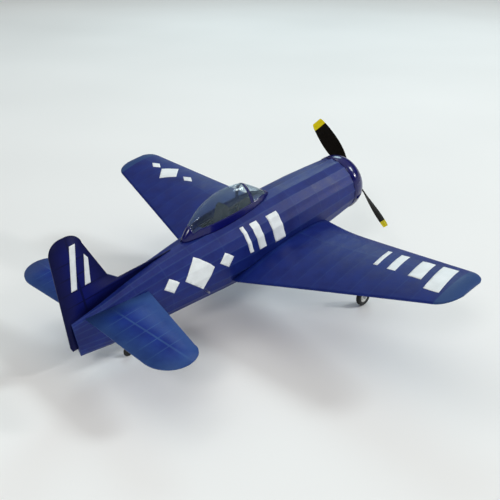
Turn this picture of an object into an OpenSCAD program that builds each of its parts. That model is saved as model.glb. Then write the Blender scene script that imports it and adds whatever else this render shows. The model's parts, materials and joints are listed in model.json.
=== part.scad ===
// Rubber-powered stick-and-tissue scale aeroplane, low wing, bubble canopy, fixed gear.
// Every module is modelled level: +X starboard, +Y forward, +Z up, origin on the thrust
// line at the front former. standing() then tips the nose up onto the three wheels.

/* [Wing] */
// Wing span, tip to tip
wing_span = 762; // [600:1:900]
// Chord that the straight outlines would have at the centreline
wing_chord = 209.4; // [170:0.1:250]
// Leading edge position at the centreline
wing_front = -81.5; // [-110:0.5:-60]
// Sweep back of the leading edge, per unit of span
le_sweep = 0.10; // [0:0.01:0.2]
// Forward sweep of the trailing edge, per unit of span
te_sweep = 0.24; // [0.1:0.01:0.35]
// Dihedral of each wing panel, degrees
dihedral = 8.1; // [3:0.1:12]
// Height of the wing plane at the centreline
wing_z = -34.9; // [-40:0.1:-25]
// Nose-up incidence of the wing at the centreline, washed out to none at the tip, degrees
incidence = 2; // [0:0.5:4]
// Wing thickness as a share of the chord
wing_thickness = 0.10; // [0.07:0.01:0.14]
// Wing camber as a share of the chord
wing_camber = 0.03; // [0.01:0.005:0.05]
// Number of ribs in each panel
rib_count = 11; // [7:1:14]

/* [Tail] */
// Span of the stabilizer
stab_span = 398; // [320:1:480]
// Height of the stabilizer plane
stab_z = 19; // [16:0.5:21]
// Thickness of the flat tail surfaces
tail_thickness = 3; // [2.4:0.1:5]
// Height of the fin tip above the thrust line
fin_top = 145.5; // [120:0.5:175]
// Slope of the rudder's trailing edge, forward per unit of height
rudder_lean = 0.069; // [0:0.001:0.1]

/* [Structure] */
// Thickness of the tissue skin
skin = 0.3; // [0.2:0.05:0.5]
// Thickness of the sheet that formers and ribs are cut from
sheet = 1.6; // [1:0.1:2.4]
// Side of a square stringer
stringer = 1.6; // [1.2:0.1:2]
// Depth of the four keels
keel_depth = 5; // [3:0.1:6]
// Glue gap between neighbouring pieces
gap = 0.15; // [0.1:0.05:0.3]

/* [Nose and motor] */
// Radius of the nose at the front former
nose_r = 47.5; // [44:0.5:52]
// Depth of the cowl ahead of the front former
cowl_depth = 33; // [24:0.5:40]
// Radius of the cowl's front opening
cowl_mouth_r = 27; // [26:0.5:34]
// Wall of the moulded cowl
cowl_wall = 0.8; // [0.6:0.1:1.2]
// Side of the square nose plug
plug_side = 16; // [14:0.5:20]
// Radius of the propeller
prop_r = 111.5; // [90:0.5:125]
// Pitch of the propeller
prop_pitch = 215; // [120:1:300]
// Angle of the upper blade, to port of upright
prop_angle = 40.6; // [0:0.1:90]
// Radius of the propeller shaft wire
shaft_r = 0.8; // [0.6:0.05:1]
// Radius of the hollow motor peg
peg_r = 1.6; // [1.5:0.05:2]
// Radius of the bore through the motor peg
peg_bore_r = 1.2; // [0.8:0.05:1.2]
// Position of the motor peg along the fuselage
peg_y = -328; // [-332:0.5:-300]
// Height of the motor peg
peg_z = -26.5; // [-28:0.5:-25]
// Radius of one leg of the rubber loop
rubber_r = 1.6; // [1:0.1:2]

/* [Canopy] */
// Half width of the canopy at its widest
canopy_half_w = 20.5; // [17:0.5:23]
// Height of the canopy's crown above the thrust line
canopy_top = 96.5; // [85:0.5:105]
// Height of the painted skirt's upper edge
skirt_z = 61.5; // [58:0.5:66]
// Wall of the moulded canopy
canopy_wall = 0.6; // [0.4:0.1:1]

/* [Landing gear] */
// Distance between the main wheels' middle planes
track = 252.6; // [200:0.5:320]
// Radius of a main wheel
wheel_r = 15; // [12:0.5:20]
// Width of a main tyre
tyre_w = 8.6; // [6:0.1:12]
// Position of the main axle along the fuselage
axle_y = -86.4; // [-100:0.5:-70]
// Height of the main axle
axle_z = -138.6; // [-160:0.5:-120]
// Radius of the landing gear wire
wire_r = 0.8; // [0.6:0.1:1.2]
// Radius of the tail wheel
tail_wheel_r = 8; // [6:0.5:10]
// Width of the tail wheel
tail_wheel_w = 5; // [3:0.1:7]
// Position of the tail wheel's axle along the fuselage
tail_axle_y = -461.8; // [-480:0.5:-440]
// Height of the tail wheel's axle
tail_axle_z = -72.5; // [-80:0.5:-65]
// Radial clearance of a wheel or the propeller shaft in its bearing
running = 0.05; // [0.02:0.01:0.1]

/* [Hidden] */
$fn = 48;

// Fuselage stations: position, half width, top, bottom
stations = [
    [0, nose_r, nose_r, -nose_r],
    [-40, 49, 50, -50.5],
    [-85, 50, 52.5, -54],
    [-135, 50.5, 54.5, -57],
    [-185, 49.8, 54.5, -58.8],
    [-235, 47.5, 53, -59],
    [-285, 43.5, 51, -55.8],
    [-335, 38, 48.5, -51.8],
    [-385, 31.8, 44.5, -48.2],
    [-435, 24, 37, -45.8],
    [-485, 15, 27, -43.3],
    [-533, 3.5, 20.5, -35.5]
];
tail_y = stations[len(stations) - 1][0];
cockpit_front = 4;
cockpit_rear = 6;
facets = 20;
facet_angle = 360 / facets;
squareness = 2.3;
squareness_y = -85;
inner_fit = skin + gap;

// Standing attitude, from the two wheel contacts
contact_rise = tail_axle_z - axle_z;
contact_run = axle_y - tail_axle_y;
contact_gap = norm([contact_rise, contact_run]);
stand_angle = atan2(contact_rise, contact_run) + asin((wheel_r - tail_wheel_r) / contact_gap);
function stand_y(y, z) = y * cos(stand_angle) - z * sin(stand_angle);
function stand_z(y, z) = y * sin(stand_angle) + z * cos(stand_angle);
stand_lift = wheel_r - stand_z(axle_y, axle_z);

// ---- lists and solids from points ----

function flat(lists) = [for (l = lists) for (v = l) v];
function total(v) = v * [for (x = v) 1];
function mix(a, b, t) = a + (b - a) * t;
function steps(from, to, n) = [for (i = [0:n]) mix(from, to, i / n)];
function signed_pow(v, p) = sign(v) * pow(abs(v), p);

// A solid from points and triangles, turned right side out
module solid_from(points, triangles) {
    volume = total([for (t = triangles) cross(points[t[0]], points[t[1]]) * points[t[2]]]);
    polyhedron(points, volume > 0 ? [for (t = triangles) [t[2], t[1], t[0]]] : triangles);
}

// A solid through convex rings that have the same number of points
module loft(rings) {
    m = len(rings);
    n = len(rings[0]);
    sides = [
        for (i = [0:m - 2]) for (j = [0:n - 1])
        let (a = i * n + j, b = i * n + (j + 1) % n)
        each [[a, b, b + n], [a, b + n, a + n]]
    ];
    first = [for (j = [1:n - 2]) [0, j + 1, j]];
    last = [for (j = [1:n - 2]) (m - 1) * n * [1, 1, 1] + [0, j, j + 1]];
    solid_from(flat(rings), concat(sides, first, last));
}

// A skin between an outer and an inner grid of points, with only the cells that keep() allows
module grid_shell(outer, inner, closed = true, keep = function (i, j) true) {
    m = len(outer);
    n = len(outer[0]);
    columns = closed ? n : n - 1;
    function at(i, j, side) = side * m * n + i * n + j % n;
    function kept(i, j) = i >= 0 && i < m - 1 && (closed || (j >= 0 && j < columns))
        && keep(i, (j + columns) % columns);
    function wall(p, q, i, j) = kept(i, j) ? [] : [
        [at(q[0], q[1], 0), at(p[0], p[1], 0), at(p[0], p[1], 1)],
        [at(q[0], q[1], 0), at(p[0], p[1], 1), at(q[0], q[1], 1)]
    ];
    triangles = [
        for (i = [0:m - 2]) for (j = [0:columns - 1]) if (kept(i, j))
        let (a = [i, j], b = [i, j + 1], c = [i + 1, j + 1], d = [i + 1, j])
        each concat(
            [[at(a[0], a[1], 0), at(b[0], b[1], 0), at(c[0], c[1], 0)]],
            [[at(a[0], a[1], 0), at(c[0], c[1], 0), at(d[0], d[1], 0)]],
            [[at(a[0], a[1], 1), at(c[0], c[1], 1), at(b[0], b[1], 1)]],
            [[at(a[0], a[1], 1), at(d[0], d[1], 1), at(c[0], c[1], 1)]],
            wall(a, b, i - 1, j), wall(b, c, i, j + 1), wall(c, d, i + 1, j), wall(d, a, i, j - 1)
        )
    ];
    solid_from(concat(flat(outer), flat(inner)), triangles);
}

// A round rod between two points
module rod(from, to, r) {
    run = to - from;
    translate(from)
        rotate([0, acos(run[2] / norm(run)), atan2(run[1], run[0])])
            cylinder(r = r, h = norm(run));
}

// A wire through a list of points, with elbows a little fatter than the wire
elbow_swell = 1.08;
module wire(route, r) {
    for (i = [0:len(route) - 2]) rod(route[i], route[i + 1], r);
    for (i = [1:len(route) - 2]) translate(route[i]) sphere(r = r * elbow_swell);
}

// An outline drawn in Y and Z, as a sheet centred on a place along X
module sheet_at_x(x, thickness)
    translate([x - thickness / 2, 0, 0]) rotate([90, 0, 90]) linear_extrude(thickness) children();

// An outline drawn in X and Z, as a sheet centred on a place along Y
module sheet_at_y(y, thickness)
    translate([0, y + thickness / 2, 0]) rotate([90, 0, 0]) linear_extrude(thickness) children();

module along_y() rotate([-90, 0, 0]) children();
module along_x() rotate([0, 90, 0]) children();
module port() mirror([1, 0, 0]) children();

// The front-most and rear-most points of the standing aeroplane set its middle
function front_reach() = stand_y(prop_y, -prop_r * cos(prop_angle));
function rear_reach() = stand_y(rudder_y(fin_top - fin_corner), fin_top - fin_corner);
module standing()
    translate([0, -(front_reach() + rear_reach()) / 2, stand_lift])
        rotate([stand_angle, 0, 0]) children();

// ---- fuselage ----

function station_value(y, column) = lookup(y, [for (s = stations) [s[0], s[column]]]);
function half_w(y) = station_value(y, 1);
function top_z(y) = station_value(y, 2);
function bottom_z(y) = station_value(y, 3);
function mid_z(y) = (top_z(y) + bottom_z(y)) / 2;
function half_h(y) = (top_z(y) - bottom_z(y)) / 2;
function roundness(y) = 2 / mix(2, squareness, min(1, y / squareness_y));

// Corner k of the faceted section at y, from the top keel towards starboard
function corner(y, k, inset = 0) = [
    (half_w(y) - inset) * signed_pow(sin(k * facet_angle), roundness(y)),
    mid_z(y) + (half_h(y) - inset) * signed_pow(cos(k * facet_angle), roundness(y))
];
function ring(y, inset = 0) = [
    for (k = [0:facets - 1]) let (p = corner(y, k, inset)) [p[0], y, p[1]]
];
// Outward direction at corner k, square to the line between its two neighbours
function outward(y, k) =
    let (run = corner(y, k + 1) - corner(y, k - 1)) [-run[1], run[0]] / norm(run);
function side_x(y, z) = lookup(z, [for (k = [0:facets / 2]) let (p = corner(y, k)) [p[1], p[0]]]);

function is_keel(k) = k % (facets / 4) == 0;
function stick_depth(k) = is_keel(k) ? keel_depth : stringer;

// How far the two facets that meet at corner k have fallen away at a stick's edges
function facet_fall(y, k) =
    let (n = outward(y, k), run = corner(y, k) - corner(y, k + 1))
    stringer / 2 * (run * n) / abs(cross(run, n));

// Four corners of the stick that runs along corner k
function stick_ring(y, k) =
    let (
        n = outward(y, k),
        across = [n[1], -n[0]] * stringer / 2,
        outer = corner(y, k) - n * (inner_fit + max(gap, facet_fall(y, k) + gap / 2)),
        deep = outer - n * stick_depth(k)
    )
    [for (p = [outer - across, outer + across, deep + across, deep - across]) [p[0], y, p[1]]];

module stick(k, from, to)
    loft([for (y = concat([from], [for (s = stations) if (s[0] < from && s[0] > to) s[0]], [to]))
        stick_ring(y, k)]);

module fuselage_covering() color([0.09, 0.16, 0.45])
    difference() {
        grid_shell(
            [for (s = stations) ring(s[0])],
            [for (s = stations) ring(s[0], skin)],
            keep = function (i, j) i < cockpit_front || i >= cockpit_rear || (j > 0 && j < facets - 1)
        );
        translate([-half_w(peg_y) - 1, peg_y, peg_z])
            along_x() cylinder(r = peg_r + peg_fit, h = 2 * half_w(peg_y) + 2);
    }

stick_end = stations[10][0] - sheet;
post_thickness = 3;
post_y = tail_y + post_thickness / 2 + gap;

module keel_top() color("burlywood") {
    stick(0, 0, stations[cockpit_front][0]);
    stick(0, stations[cockpit_rear][0], post_y + post_thickness / 2 + gap);
}

module keel_bottom() color("burlywood") stick(facets / 2, 0, post_y + post_thickness / 2 + gap);

module keels_side() color("burlywood")
    for (k = [facets / 4, 3 * facets / 4]) stick(k, 0, stick_end);

module fuselage_stringers() color("burlywood")
    for (k = [0:facets - 1]) if (!is_keel(k)) stick(k, 0, stick_end);

module tail_post() color("burlywood")
    sheet_at_y(post_y, post_thickness)
        translate([-half_w(tail_y) / 3, bottom_z(tail_y) + 3])
            square([half_w(tail_y) * 2 / 3, top_z(tail_y) - bottom_z(tail_y) - 6]);

// Outline of a former: recessed between the sticks, with a notch for each stick
function former_outline(y) = [
    for (k = [0:facets - 1])
    let (
        n = outward(y, k),
        across = [n[1], -n[0]] * (stringer / 2 + gap),
        edge = corner(y, k) - n * (inner_fit + stringer / 2),
        deep = corner(y, k) - n * (inner_fit + stick_depth(k) + 3 * gap)
    )
    each [edge - across, deep - across, deep + across, edge + across]
];

hole_share = 0.6;
hole_drop = 4;
floor_z = 35;
module former(number) {
    y = stations[number - 1][0] - (number == 1 ? sheet : 0);
    cockpit_w = 2 * corner(y, 1)[0] - 2 * stringer - 2;
    color("wheat") difference() {
        sheet_at_y(y, sheet) polygon(former_outline(y));
        translate([0, y - sheet, mid_z(y) - hole_drop])
            along_y() cylinder(r = hole_share * min(half_w(y), half_h(y)), h = 2 * sheet);
        if (number == cockpit_front + 2)
            translate([-cockpit_w / 2, y - sheet, floor_z - sheet])
                cube([cockpit_w, 2 * sheet, top_z(y)]);
    }
}

// ---- cockpit and canopy ----

module cockpit_floor() {
    front = stations[cockpit_front][0] - sheet / 2 - gap;
    rear = stations[cockpit_rear][0] + sheet / 2 + gap;
    w = 2 * corner(rear, 1)[0] - 2 * stringer - 4;
    color([0.05, 0.05, 0.06])
        translate([-w / 2, rear, floor_z - sheet + gap]) cube([w, front - rear, sheet - gap]);
}

panel_half_w = 10;
panel_h = 26;
module instrument_panel() color([0.06, 0.06, 0.07])
    sheet_at_y(stations[cockpit_front][0] - 8, sheet)
        translate([0, floor_z + gap]) {
            translate([-panel_half_w, 0]) square([2 * panel_half_w, panel_h - panel_half_w]);
            intersection() {
                translate([0, panel_h - panel_half_w]) circle(r = panel_half_w);
                translate([-panel_half_w, 0]) square([2 * panel_half_w, panel_h]);
            }
        }

headrest_w = 16;
module headrest() color([0.05, 0.05, 0.05])
    sheet_at_x(0, headrest_w)
        polygon([
            for (p = [[0, 0], [-30, 0], [-22, 14], [-10, 38], [-4, 40], [0, 36]])
            [p[0] + stations[cockpit_front + 1][0] - 6, p[1] + floor_z + gap]
        ]);

// Canopy stations: position, share of the half width, share of the crown's height over the deck
canopy_stations = [
    [-155, 0.25, 0.03], [-164, 0.48, 0.20], [-174, 0.70, 0.40], [-186, 0.86, 0.62],
    [-198, 0.94, 0.82], [-203, 0.96, 0.88], [-221, 1, 0.96], [-240, 1, 1],
    [-260, 0.96, 0.97], [-277, 0.89, 0.88], [-291, 0.78, 0.75], [-304, 0.63, 0.56],
    [-313, 0.50, 0.42], [-323, 0.34, 0.24], [-331, 0.14, 0.07]
];
canopy_columns = 20;
skirt_rows = 4;
glass_first = 1;
arch_first = 4;
arch_last = 5;
glass_last = 12;
canopy_pointedness = 1.15;
deck_gap = 0.3;

// Cross-section of the canopy: an arch whose feet stand on the deck
function canopy_ring(s, inset) =
    let (
        w = canopy_half_w * s[1] - inset,
        foot = lookup(w, [for (k = [0:facets / 4]) corner(s[0], k)]) + deck_gap,
        rise = (canopy_top - top_z(s[0])) * s[2] + top_z(s[0]) - foot + deck_gap - inset,
        split = max(0, min(0.45, (skirt_z - foot) / rise))
    )
    [
        for (j = [0:canopy_columns])
        let (
            side = j < canopy_columns / 2 ? -1 : 1,
            down = abs(j - canopy_columns / 2) / (canopy_columns / 2),
            rows = 1 - 2 * skirt_rows / canopy_columns,
            turn = asin(split),
            a = down > rows ? mix(turn, 0, (down - rows) / (1 - rows)) : mix(90, turn, down / rows)
        )
        [side * w * pow(cos(a), canopy_pointedness), s[0], foot + rise * sin(a)]
    ];

module canopy_part(keep)
    grid_shell(
        [for (s = canopy_stations) canopy_ring(s, 0)],
        [for (s = canopy_stations) canopy_ring(s, canopy_wall)],
        closed = false, keep = keep
    );

function in_glass(i, j) = i >= glass_first && i < glass_last && j >= skirt_rows
    && j < canopy_columns - skirt_rows;
function in_arch(i) = i >= arch_first && i < arch_last;

module windscreen() color([0.8, 0.9, 0.95, 0.35])
    canopy_part(function (i, j) in_glass(i, j) && i < arch_first);

module canopy() color([0.8, 0.9, 0.95, 0.35])
    canopy_part(function (i, j) in_glass(i, j) && i >= arch_last);

module canopy_frame() color([0.02, 0.02, 0.25])
    canopy_part(function (i, j) !in_glass(i, j) || in_arch(i));

// ---- nose, propeller and motor ----

bulge = 1;
bulge_y = 6;
// Radius of the cowl's outer face at y
function cowl_r(y) = y < bulge_y ? mix(nose_r, nose_r + bulge, y / bulge_y)
    : cowl_mouth_r + (nose_r + bulge - cowl_mouth_r)
        * sqrt(max(0, 1 - pow((y - bulge_y) / (cowl_depth - bulge_y), 2)));

module nose_cowl() color([0.02, 0.02, 0.22])
    along_y() rotate_extrude()
        polygon(concat(
            [for (y = [gap, bulge_y, 11, 16, 21, 25, 28, 30.5, 32])
                [cowl_r(min(y, cowl_depth - 0.8)), y]],
            [[cowl_mouth_r + 2, cowl_depth], [cowl_mouth_r, cowl_depth]],
            [for (y = [31.5, 28, 25, 21, 16, 11, bulge_y, gap])
                [min(cowl_r(y) - cowl_wall, cowl_r(y + 1) - cowl_wall), y]]
        ));

block_front = 30;
boss_r = 21;
block_plate = 6;
module nose_block() color([0.05, 0.05, 0.05])
    difference() {
        union() {
            translate([0, gap, 0]) along_y() cylinder(r = nose_r - cowl_wall - 1, h = block_plate);
            translate([0, gap, 0]) along_y() cylinder(r = boss_r, h = block_front);
        }
        translate([-plug_side / 2 - gap, -1, -plug_side / 2 - gap])
            cube([plug_side + 2 * gap, block_front + 2, plug_side + 2 * gap]);
    }

flange_r = 15;
flange_t = 4;
plug_length = 26;
plug_front = block_front + 2 * gap + flange_t;
button_r = 4;
button_flange_r = 6.5;
button_flange_t = 2;
module nose_plug() color("wheat")
    difference() {
        union() {
            translate([-plug_side / 2, block_front + 2 * gap - plug_length, -plug_side / 2])
                cube([plug_side, plug_length, plug_side]);
            translate([0, block_front + 2 * gap, 0]) along_y() cylinder(r = flange_r, h = flange_t);
        }
        translate([0, -10, 0]) along_y() cylinder(r = button_r + gap, h = 60);
    }

module nose_button() color("ivory")
    difference() {
        union() {
            translate([0, block_front - plug_length + 2, 0])
                along_y() cylinder(r = button_r, h = plug_front - block_front + plug_length - 2);
            translate([0, plug_front + gap, 0]) along_y() cylinder(r = button_flange_r, h = button_flange_t);
            translate([0, plug_front - 1, 0]) along_y() cylinder(r = button_r, h = 2);
        }
        translate([0, -10, 0]) along_y() cylinder(r = shaft_r + running, h = 60);
    }

washer_t = 0.8;
washer_y = plug_front + gap + button_flange_t + gap;
hub_rear = washer_y + 2 * (washer_t + gap);
hub_length = 11;
prop_y = hub_rear + hub_length / 2;
module thrust_washers() color("gold")
    for (i = [0:1])
        translate([0, washer_y + i * (washer_t + gap), 0]) along_y() difference() {
            cylinder(r = 3, h = washer_t);
            translate([0, 0, -1]) cylinder(r = shaft_r + running, h = washer_t + 2);
        }

hook_y = -12;
hook_r = 4;
eye_r = 2.6;
eye_y = hub_rear + hub_length + eye_r + 3;
module prop_shaft() color("silver") {
    translate([0, hook_y + hook_r, 0]) along_y() cylinder(r = shaft_r, h = eye_y - eye_r - hook_y - hook_r);
    translate([0, hook_y, 0]) rotate_extrude() translate([hook_r, 0]) circle(r = shaft_r);
    translate([0, eye_y, 0]) rotate_extrude() translate([eye_r, 0]) circle(r = shaft_r);
}

// Blade chord and twist at a share of the propeller radius
function blade_chord(t) = lookup(t, [[0.03, 6], [0.12, 9], [0.25, 18], [0.42, 27], [0.6, 31],
    [0.78, 30], [0.92, 26], [0.97, 23.5], [1, 19]]);
function blade_twist(t) = atan(prop_pitch / (2 * PI * prop_r * max(t, 0.2)));
function blade_thickness(t) = mix(4.5, 1, sqrt(min(1, t * 1.1)));

// A lens-shaped blade section at a share of the radius, cambered towards the front
function blade_ring(t) =
    let (c = blade_chord(t), h = blade_thickness(t), beta = blade_twist(t), camber = 0.05 * c)
    [
        for (a = [0:30:330])
        let (u = c / 2 * cos(a), v = h / 2 * sin(a) + camber * (1 - pow(cos(a), 2)))
        [u * cos(beta) - v * sin(beta), prop_y + u * sin(beta) + v * cos(beta), t * prop_r]
    ];
blade_steps = [0.03, 0.08, 0.14, 0.22, 0.3, 0.4, 0.5, 0.6, 0.7, 0.8, 0.88, 0.94, 0.98, 1];
hub_r = 6;
module propeller() color([0.04, 0.04, 0.04])
    rotate([0, -prop_angle, 0]) difference() {
        union() {
            translate([0, hub_rear, 0]) along_y() cylinder(r = hub_r, h = hub_length);
            for (turn = [0, 180]) rotate([0, turn, 0]) loft([for (t = blade_steps) blade_ring(t)]);
        }
        translate([0, hub_rear - 1, 0]) along_y() cylinder(r = shaft_r + running, h = hub_length + 2);
    }

peg_fit = 0.08;
peg_half_l = half_w(peg_y) + 3;
hook_back = hook_y - hook_r;
loop_r = peg_r + rubber_r + 0.1;
motor_run = [hook_back - peg_y, -peg_z];
motor_length = norm(motor_run);
module rubber_motor() color([0.62, 0.5, 0.33])
    translate([0, peg_y, peg_z]) rotate([atan2(motor_run[1], motor_run[0]), 0, 0]) {
        for (z = [-loop_r, loop_r]) translate([0, 0, z]) along_y() cylinder(r = rubber_r, h = motor_length);
        for (end = [0, 1])
            translate([0, end * motor_length, 0]) rotate([0, 90, 0])
                rotate([0, 0, end ? 0 : 180])
                    rotate_extrude(angle = 180) translate([loop_r, 0]) circle(r = rubber_r);
    }

module motor_peg() color("silver")
    translate([-peg_half_l, peg_y, peg_z]) along_x() difference() {
        cylinder(r = peg_r, h = 2 * peg_half_l);
        translate([0, 0, -1]) cylinder(r = peg_bore_r, h = 2 * peg_half_l + 2);
    }

plate_h = 9;
module peg_plates() color("peru")
    for (side = [-1, 1]) {
        rear = stations[7][0] + sheet / 2 + gap;
        x = side_x(rear, peg_z - plate_h / 2) - inner_fit - stringer - sheet;
        difference() {
            translate([side * x - sheet / 2, rear, peg_z - plate_h / 2])
                cube([sheet, 2 * (peg_y - rear), plate_h]);
            translate([side * x - sheet, peg_y, peg_z])
                along_x() cylinder(r = peg_r + peg_fit, h = 2 * sheet);
        }
    }

// ---- wing ----

half_span = wing_span / 2;
tip_start = half_span - 24;
glove_end = 120;
glove_slope = 0.175;
te_corner = 32;
le_corner = 18;
edge_half = 0.9;

// 0 at the last rib and 1 at the tip
function tip_share(x) = max(0, min(1, (x - tip_start) / (half_span - tip_start)));
function tip_round(x) = 1 - sqrt(1 - pow(min(0.985, tip_share(x)), 2));
function le_y(x) = wing_front - le_sweep * x + glove_slope * max(0, glove_end - x)
    - le_corner * tip_round(x);
function te_y(x) = wing_front - wing_chord + te_sweep * x + te_corner * tip_round(x);
function chord(x) = le_y(x) - te_y(x);
function plane_z(x) = wing_z + x * tan(dihedral);

// Half thickness of the section at a share t of the chord
function half_thick(t) = 5 * wing_thickness * (0.2969 * sqrt(t) - 0.126 * t - 0.3516 * t * t
    + 0.2843 * pow(t, 3) - 0.1015 * pow(t, 4));
// A point on the wing surface at span x; side is 1 above and -1 below
function wing_point(x, t, side, inset = 0) =
    let (
        c = chord(x),
        flatten = mix(1, 0.12, tip_round(x)),
        body = max(edge_half * sqrt(min(1, t * 40)), c * half_thick(t) * flatten + edge_half * t) - inset,
        y = mix(le_y(x) - 1.5 * inset, te_y(x) + inset, t),
        camber_z = 4 * wing_camber * c * flatten * t * (1 - t),
        twist = incidence * (1 - x / half_span)
    )
    [x, y, plane_z(x) + camber_z + (t == 0 ? 0 : side * body) + (0.5 - t) * c * sin(twist)];

chord_steps = [0, 0.012, 0.04, 0.09, 0.16, 0.26, 0.38, 0.52, 0.66, 0.8, 0.92, 1];
function wing_ring(x, inset = 0) = concat(
    [for (i = [len(chord_steps) - 1:-1:0]) wing_point(x, chord_steps[i], 1, inset)],
    [for (i = [1:len(chord_steps) - 1]) wing_point(x, chord_steps[i], -1, inset)]
);

// The root section lies against the side of the fuselage
root_gap = 0.3;
function at_root(p) = [side_x(p[1], p[2]) + root_gap, p[1], p[2]];
root_x = 46;
rib_first = half_w(wing_front) + 6;
rib_places = steps(rib_first, tip_start, rib_count - 1);
tip_places = [for (s = [0.3, 0.55, 0.75, 0.9, 1]) mix(tip_start, half_span, s)];
sorted_places = concat(
    [for (x = rib_places) if (x < glove_end) x], [glove_end],
    [for (x = rib_places) if (x > glove_end) x], tip_places
);

module wing_covering()
    grid_shell(
        concat([[for (p = wing_ring(root_x)) at_root(p)]], [for (x = sorted_places) wing_ring(x)]),
        concat([[for (p = wing_ring(root_x, skin)) at_root(p)]], [for (x = sorted_places) wing_ring(x, skin)])
    );

spar_t = 0.33;
spar_w = 2.4;
spar_h = 3.2;
te_width = 8;
le_width = 4;
le_half_h = 1.1;
rib_fit = inner_fit + gap + sheet / 2 * tan(dihedral);

// Share of the chord where a rib meets the leading or trailing edge piece
function le_share(x) = (le_width + 2.4) / chord(x);
function te_share(x) = 1 - (te_width + 1) / chord(x);

function spar_ring(x) =
    let (p = wing_point(x, spar_t, 1, rib_fit + 0.2))
    [for (c = [[-1, 0], [1, 0], [1, -1], [-1, -1]]) [x, p[1] + c[0] * spar_w / 2, p[2] + c[1] * spar_h]];
function le_ring(x) =
    let (p = wing_point(x, 0, 1, inner_fit), q = [p[1] - 1.2, p[2]])
    [for (c = [[0, 0.6], [-1, 1], [-1, -1], [0, -0.6]]) [x, q[0] + c[0] * le_width, q[1] + c[1] * le_half_h]];
function te_ring(x) =
    let (t = te_share(x) + 0.5 / chord(x))
    [wing_point(x, 1, 1, inner_fit), wing_point(x, t, 1, rib_fit),
        wing_point(x, t, -1, rib_fit), wing_point(x, 1, -1, inner_fit)];

stick_first = rib_first - sheet / 2;
stick_last = tip_start - sheet / 2;
module wing_spar() loft([for (x = [stick_first, glove_end, stick_last]) spar_ring(x)]);
module leading_edge() loft([for (x = [stick_first, glove_end, stick_last]) le_ring(x)]);
module trailing_edge() loft([for (x = [stick_first, glove_end, stick_last]) te_ring(x)]);

module wing_rib(x) {
    front = le_share(x);
    rear = te_share(x);
    places = [for (i = [0:10]) mix(front, rear, i / 10)];
    seat = spar_ring(x);
    difference() {
        sheet_at_x(x, sheet) polygon([
            for (i = [0:10]) let (p = wing_point(x, places[i], 1, rib_fit)) [p[1], p[2]],
            for (i = [10:-1:0]) let (p = wing_point(x, places[i], -1, rib_fit)) [p[1], p[2]]
        ]);
        translate([x - sheet, seat[0][1] - gap - 0.1, seat[2][2] - gap - sheet * tan(dihedral)])
            cube([2 * sheet, spar_w + 2 * gap + 0.2, 2 * spar_h]);
        at_gear_block() cube(block_size + 2 * gap * [1, 1, 1], center = true);
        rod([leg_x, leg_top_y, leg_top_z], [leg_x, axle_y, axle_z], wire_r + gap);
    }
}
module wing_ribs() for (x = [for (i = [0:rib_count - 1]) rib_places[i] - (i == rib_count - 1 ? sheet : 0)])
    wing_rib(x);

// A flat crescent that carries the outline of the tip
bow_w = 7;
bow_t = 0.7;
bow_lift = 0.2;
module wing_tip() {
    places = steps(tip_start + sheet, half_span - 1.2, 7);
    rim = 2.2;
    translate([0, 0, wing_z]) rotate([0, -dihedral, 0]) translate([0, 0, bow_lift - bow_t / 2])
        linear_extrude(bow_t) polygon(concat(
            [for (x = places) [x / cos(dihedral), le_y(x) - rim]],
            [for (i = [len(places) - 1:-1:0]) [places[i] / cos(dihedral), te_y(places[i]) + rim]],
            [for (x = places) if (x < half_span - bow_w) [x / cos(dihedral), te_y(x) + rim + bow_w]],
            [for (i = [len(places) - 1:-1:0]) if (places[i] < half_span - bow_w)
                [places[i] / cos(dihedral), le_y(places[i]) - rim - bow_w]]
        ));
}

module wing_blue() color([0.09, 0.16, 0.5]) children();
module wing_covering_right() wing_blue() wing_covering();
module wing_covering_left() wing_blue() port() wing_covering();
module wing_ribs_right() color("wheat") wing_ribs();
module wing_ribs_left() color("wheat") port() wing_ribs();
module wing_spar_right() color("burlywood") wing_spar();
module wing_spar_left() color("burlywood") port() wing_spar();
module leading_edge_right() color("burlywood") leading_edge();
module leading_edge_left() color("burlywood") port() leading_edge();
module trailing_edge_right() color("burlywood") trailing_edge();
module trailing_edge_left() color("burlywood") port() trailing_edge();
module wing_tip_right() color("wheat") wing_tip();
module wing_tip_left() color("wheat") port() wing_tip();

// ---- tail ----

stab_half = stab_span / 2;
stab_front = -411.6;
stab_rear = -512.5;
stab_sweep = 0.24;
stab_tip_y = -480;
stab_le_corner = 23;
stab_te_corner = 48;
stab_spar_y = -476;
stab_spar_w = 3;
stab_edge_w = 4;
stab_bays = 5;
stab_first_rib = 22;
fin_corner = 22;

function stab_le(x) = stab_front - stab_sweep * x;
function stab_te(x) = stab_rear - 0.03 * x;
// Outline of one stabilizer half, drawn in X and Y, set in from the edge
function stab_outline(inset, root_inset = 0) =
    let (
        le_x = stab_half - stab_le_corner,
        te_x = stab_half - stab_te_corner,
        le_rise = stab_le(le_x) - stab_tip_y - inset,
        te_drop = stab_tip_y - stab_te(te_x) - inset,
        root_front = stab_root(stab_le(20) - inset) + root_inset,
        root_rear = stab_root(stab_te(8) + inset) + root_inset
    )
    concat(
        [[root_rear, stab_te(root_rear) + inset], [root_front, stab_le(root_front) - inset]],
        [for (a = steps(90, 0, 8))
            [le_x + (stab_le_corner - inset) * cos(a), stab_tip_y + le_rise * sin(a)]],
        [for (a = steps(10, 90, 8))
            [te_x + (stab_te_corner - inset) * cos(a), stab_tip_y - te_drop * sin(a)]]
    );
function stab_root(y) = side_x(y, stab_z - tail_thickness / 2) + root_gap;

module stab_slab(thickness, inset, root_inset)
    translate([0, 0, stab_z - thickness / 2])
        linear_extrude(thickness) polygon(stab_outline(inset, root_inset));

module stabilizer_covering() wing_blue()
    for (side = [0, 1]) mirror([side, 0, 0]) difference() {
        stab_slab(tail_thickness, 0, 0);
        stab_slab(tail_thickness - 2 * skin, skin, -5);
    }

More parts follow.
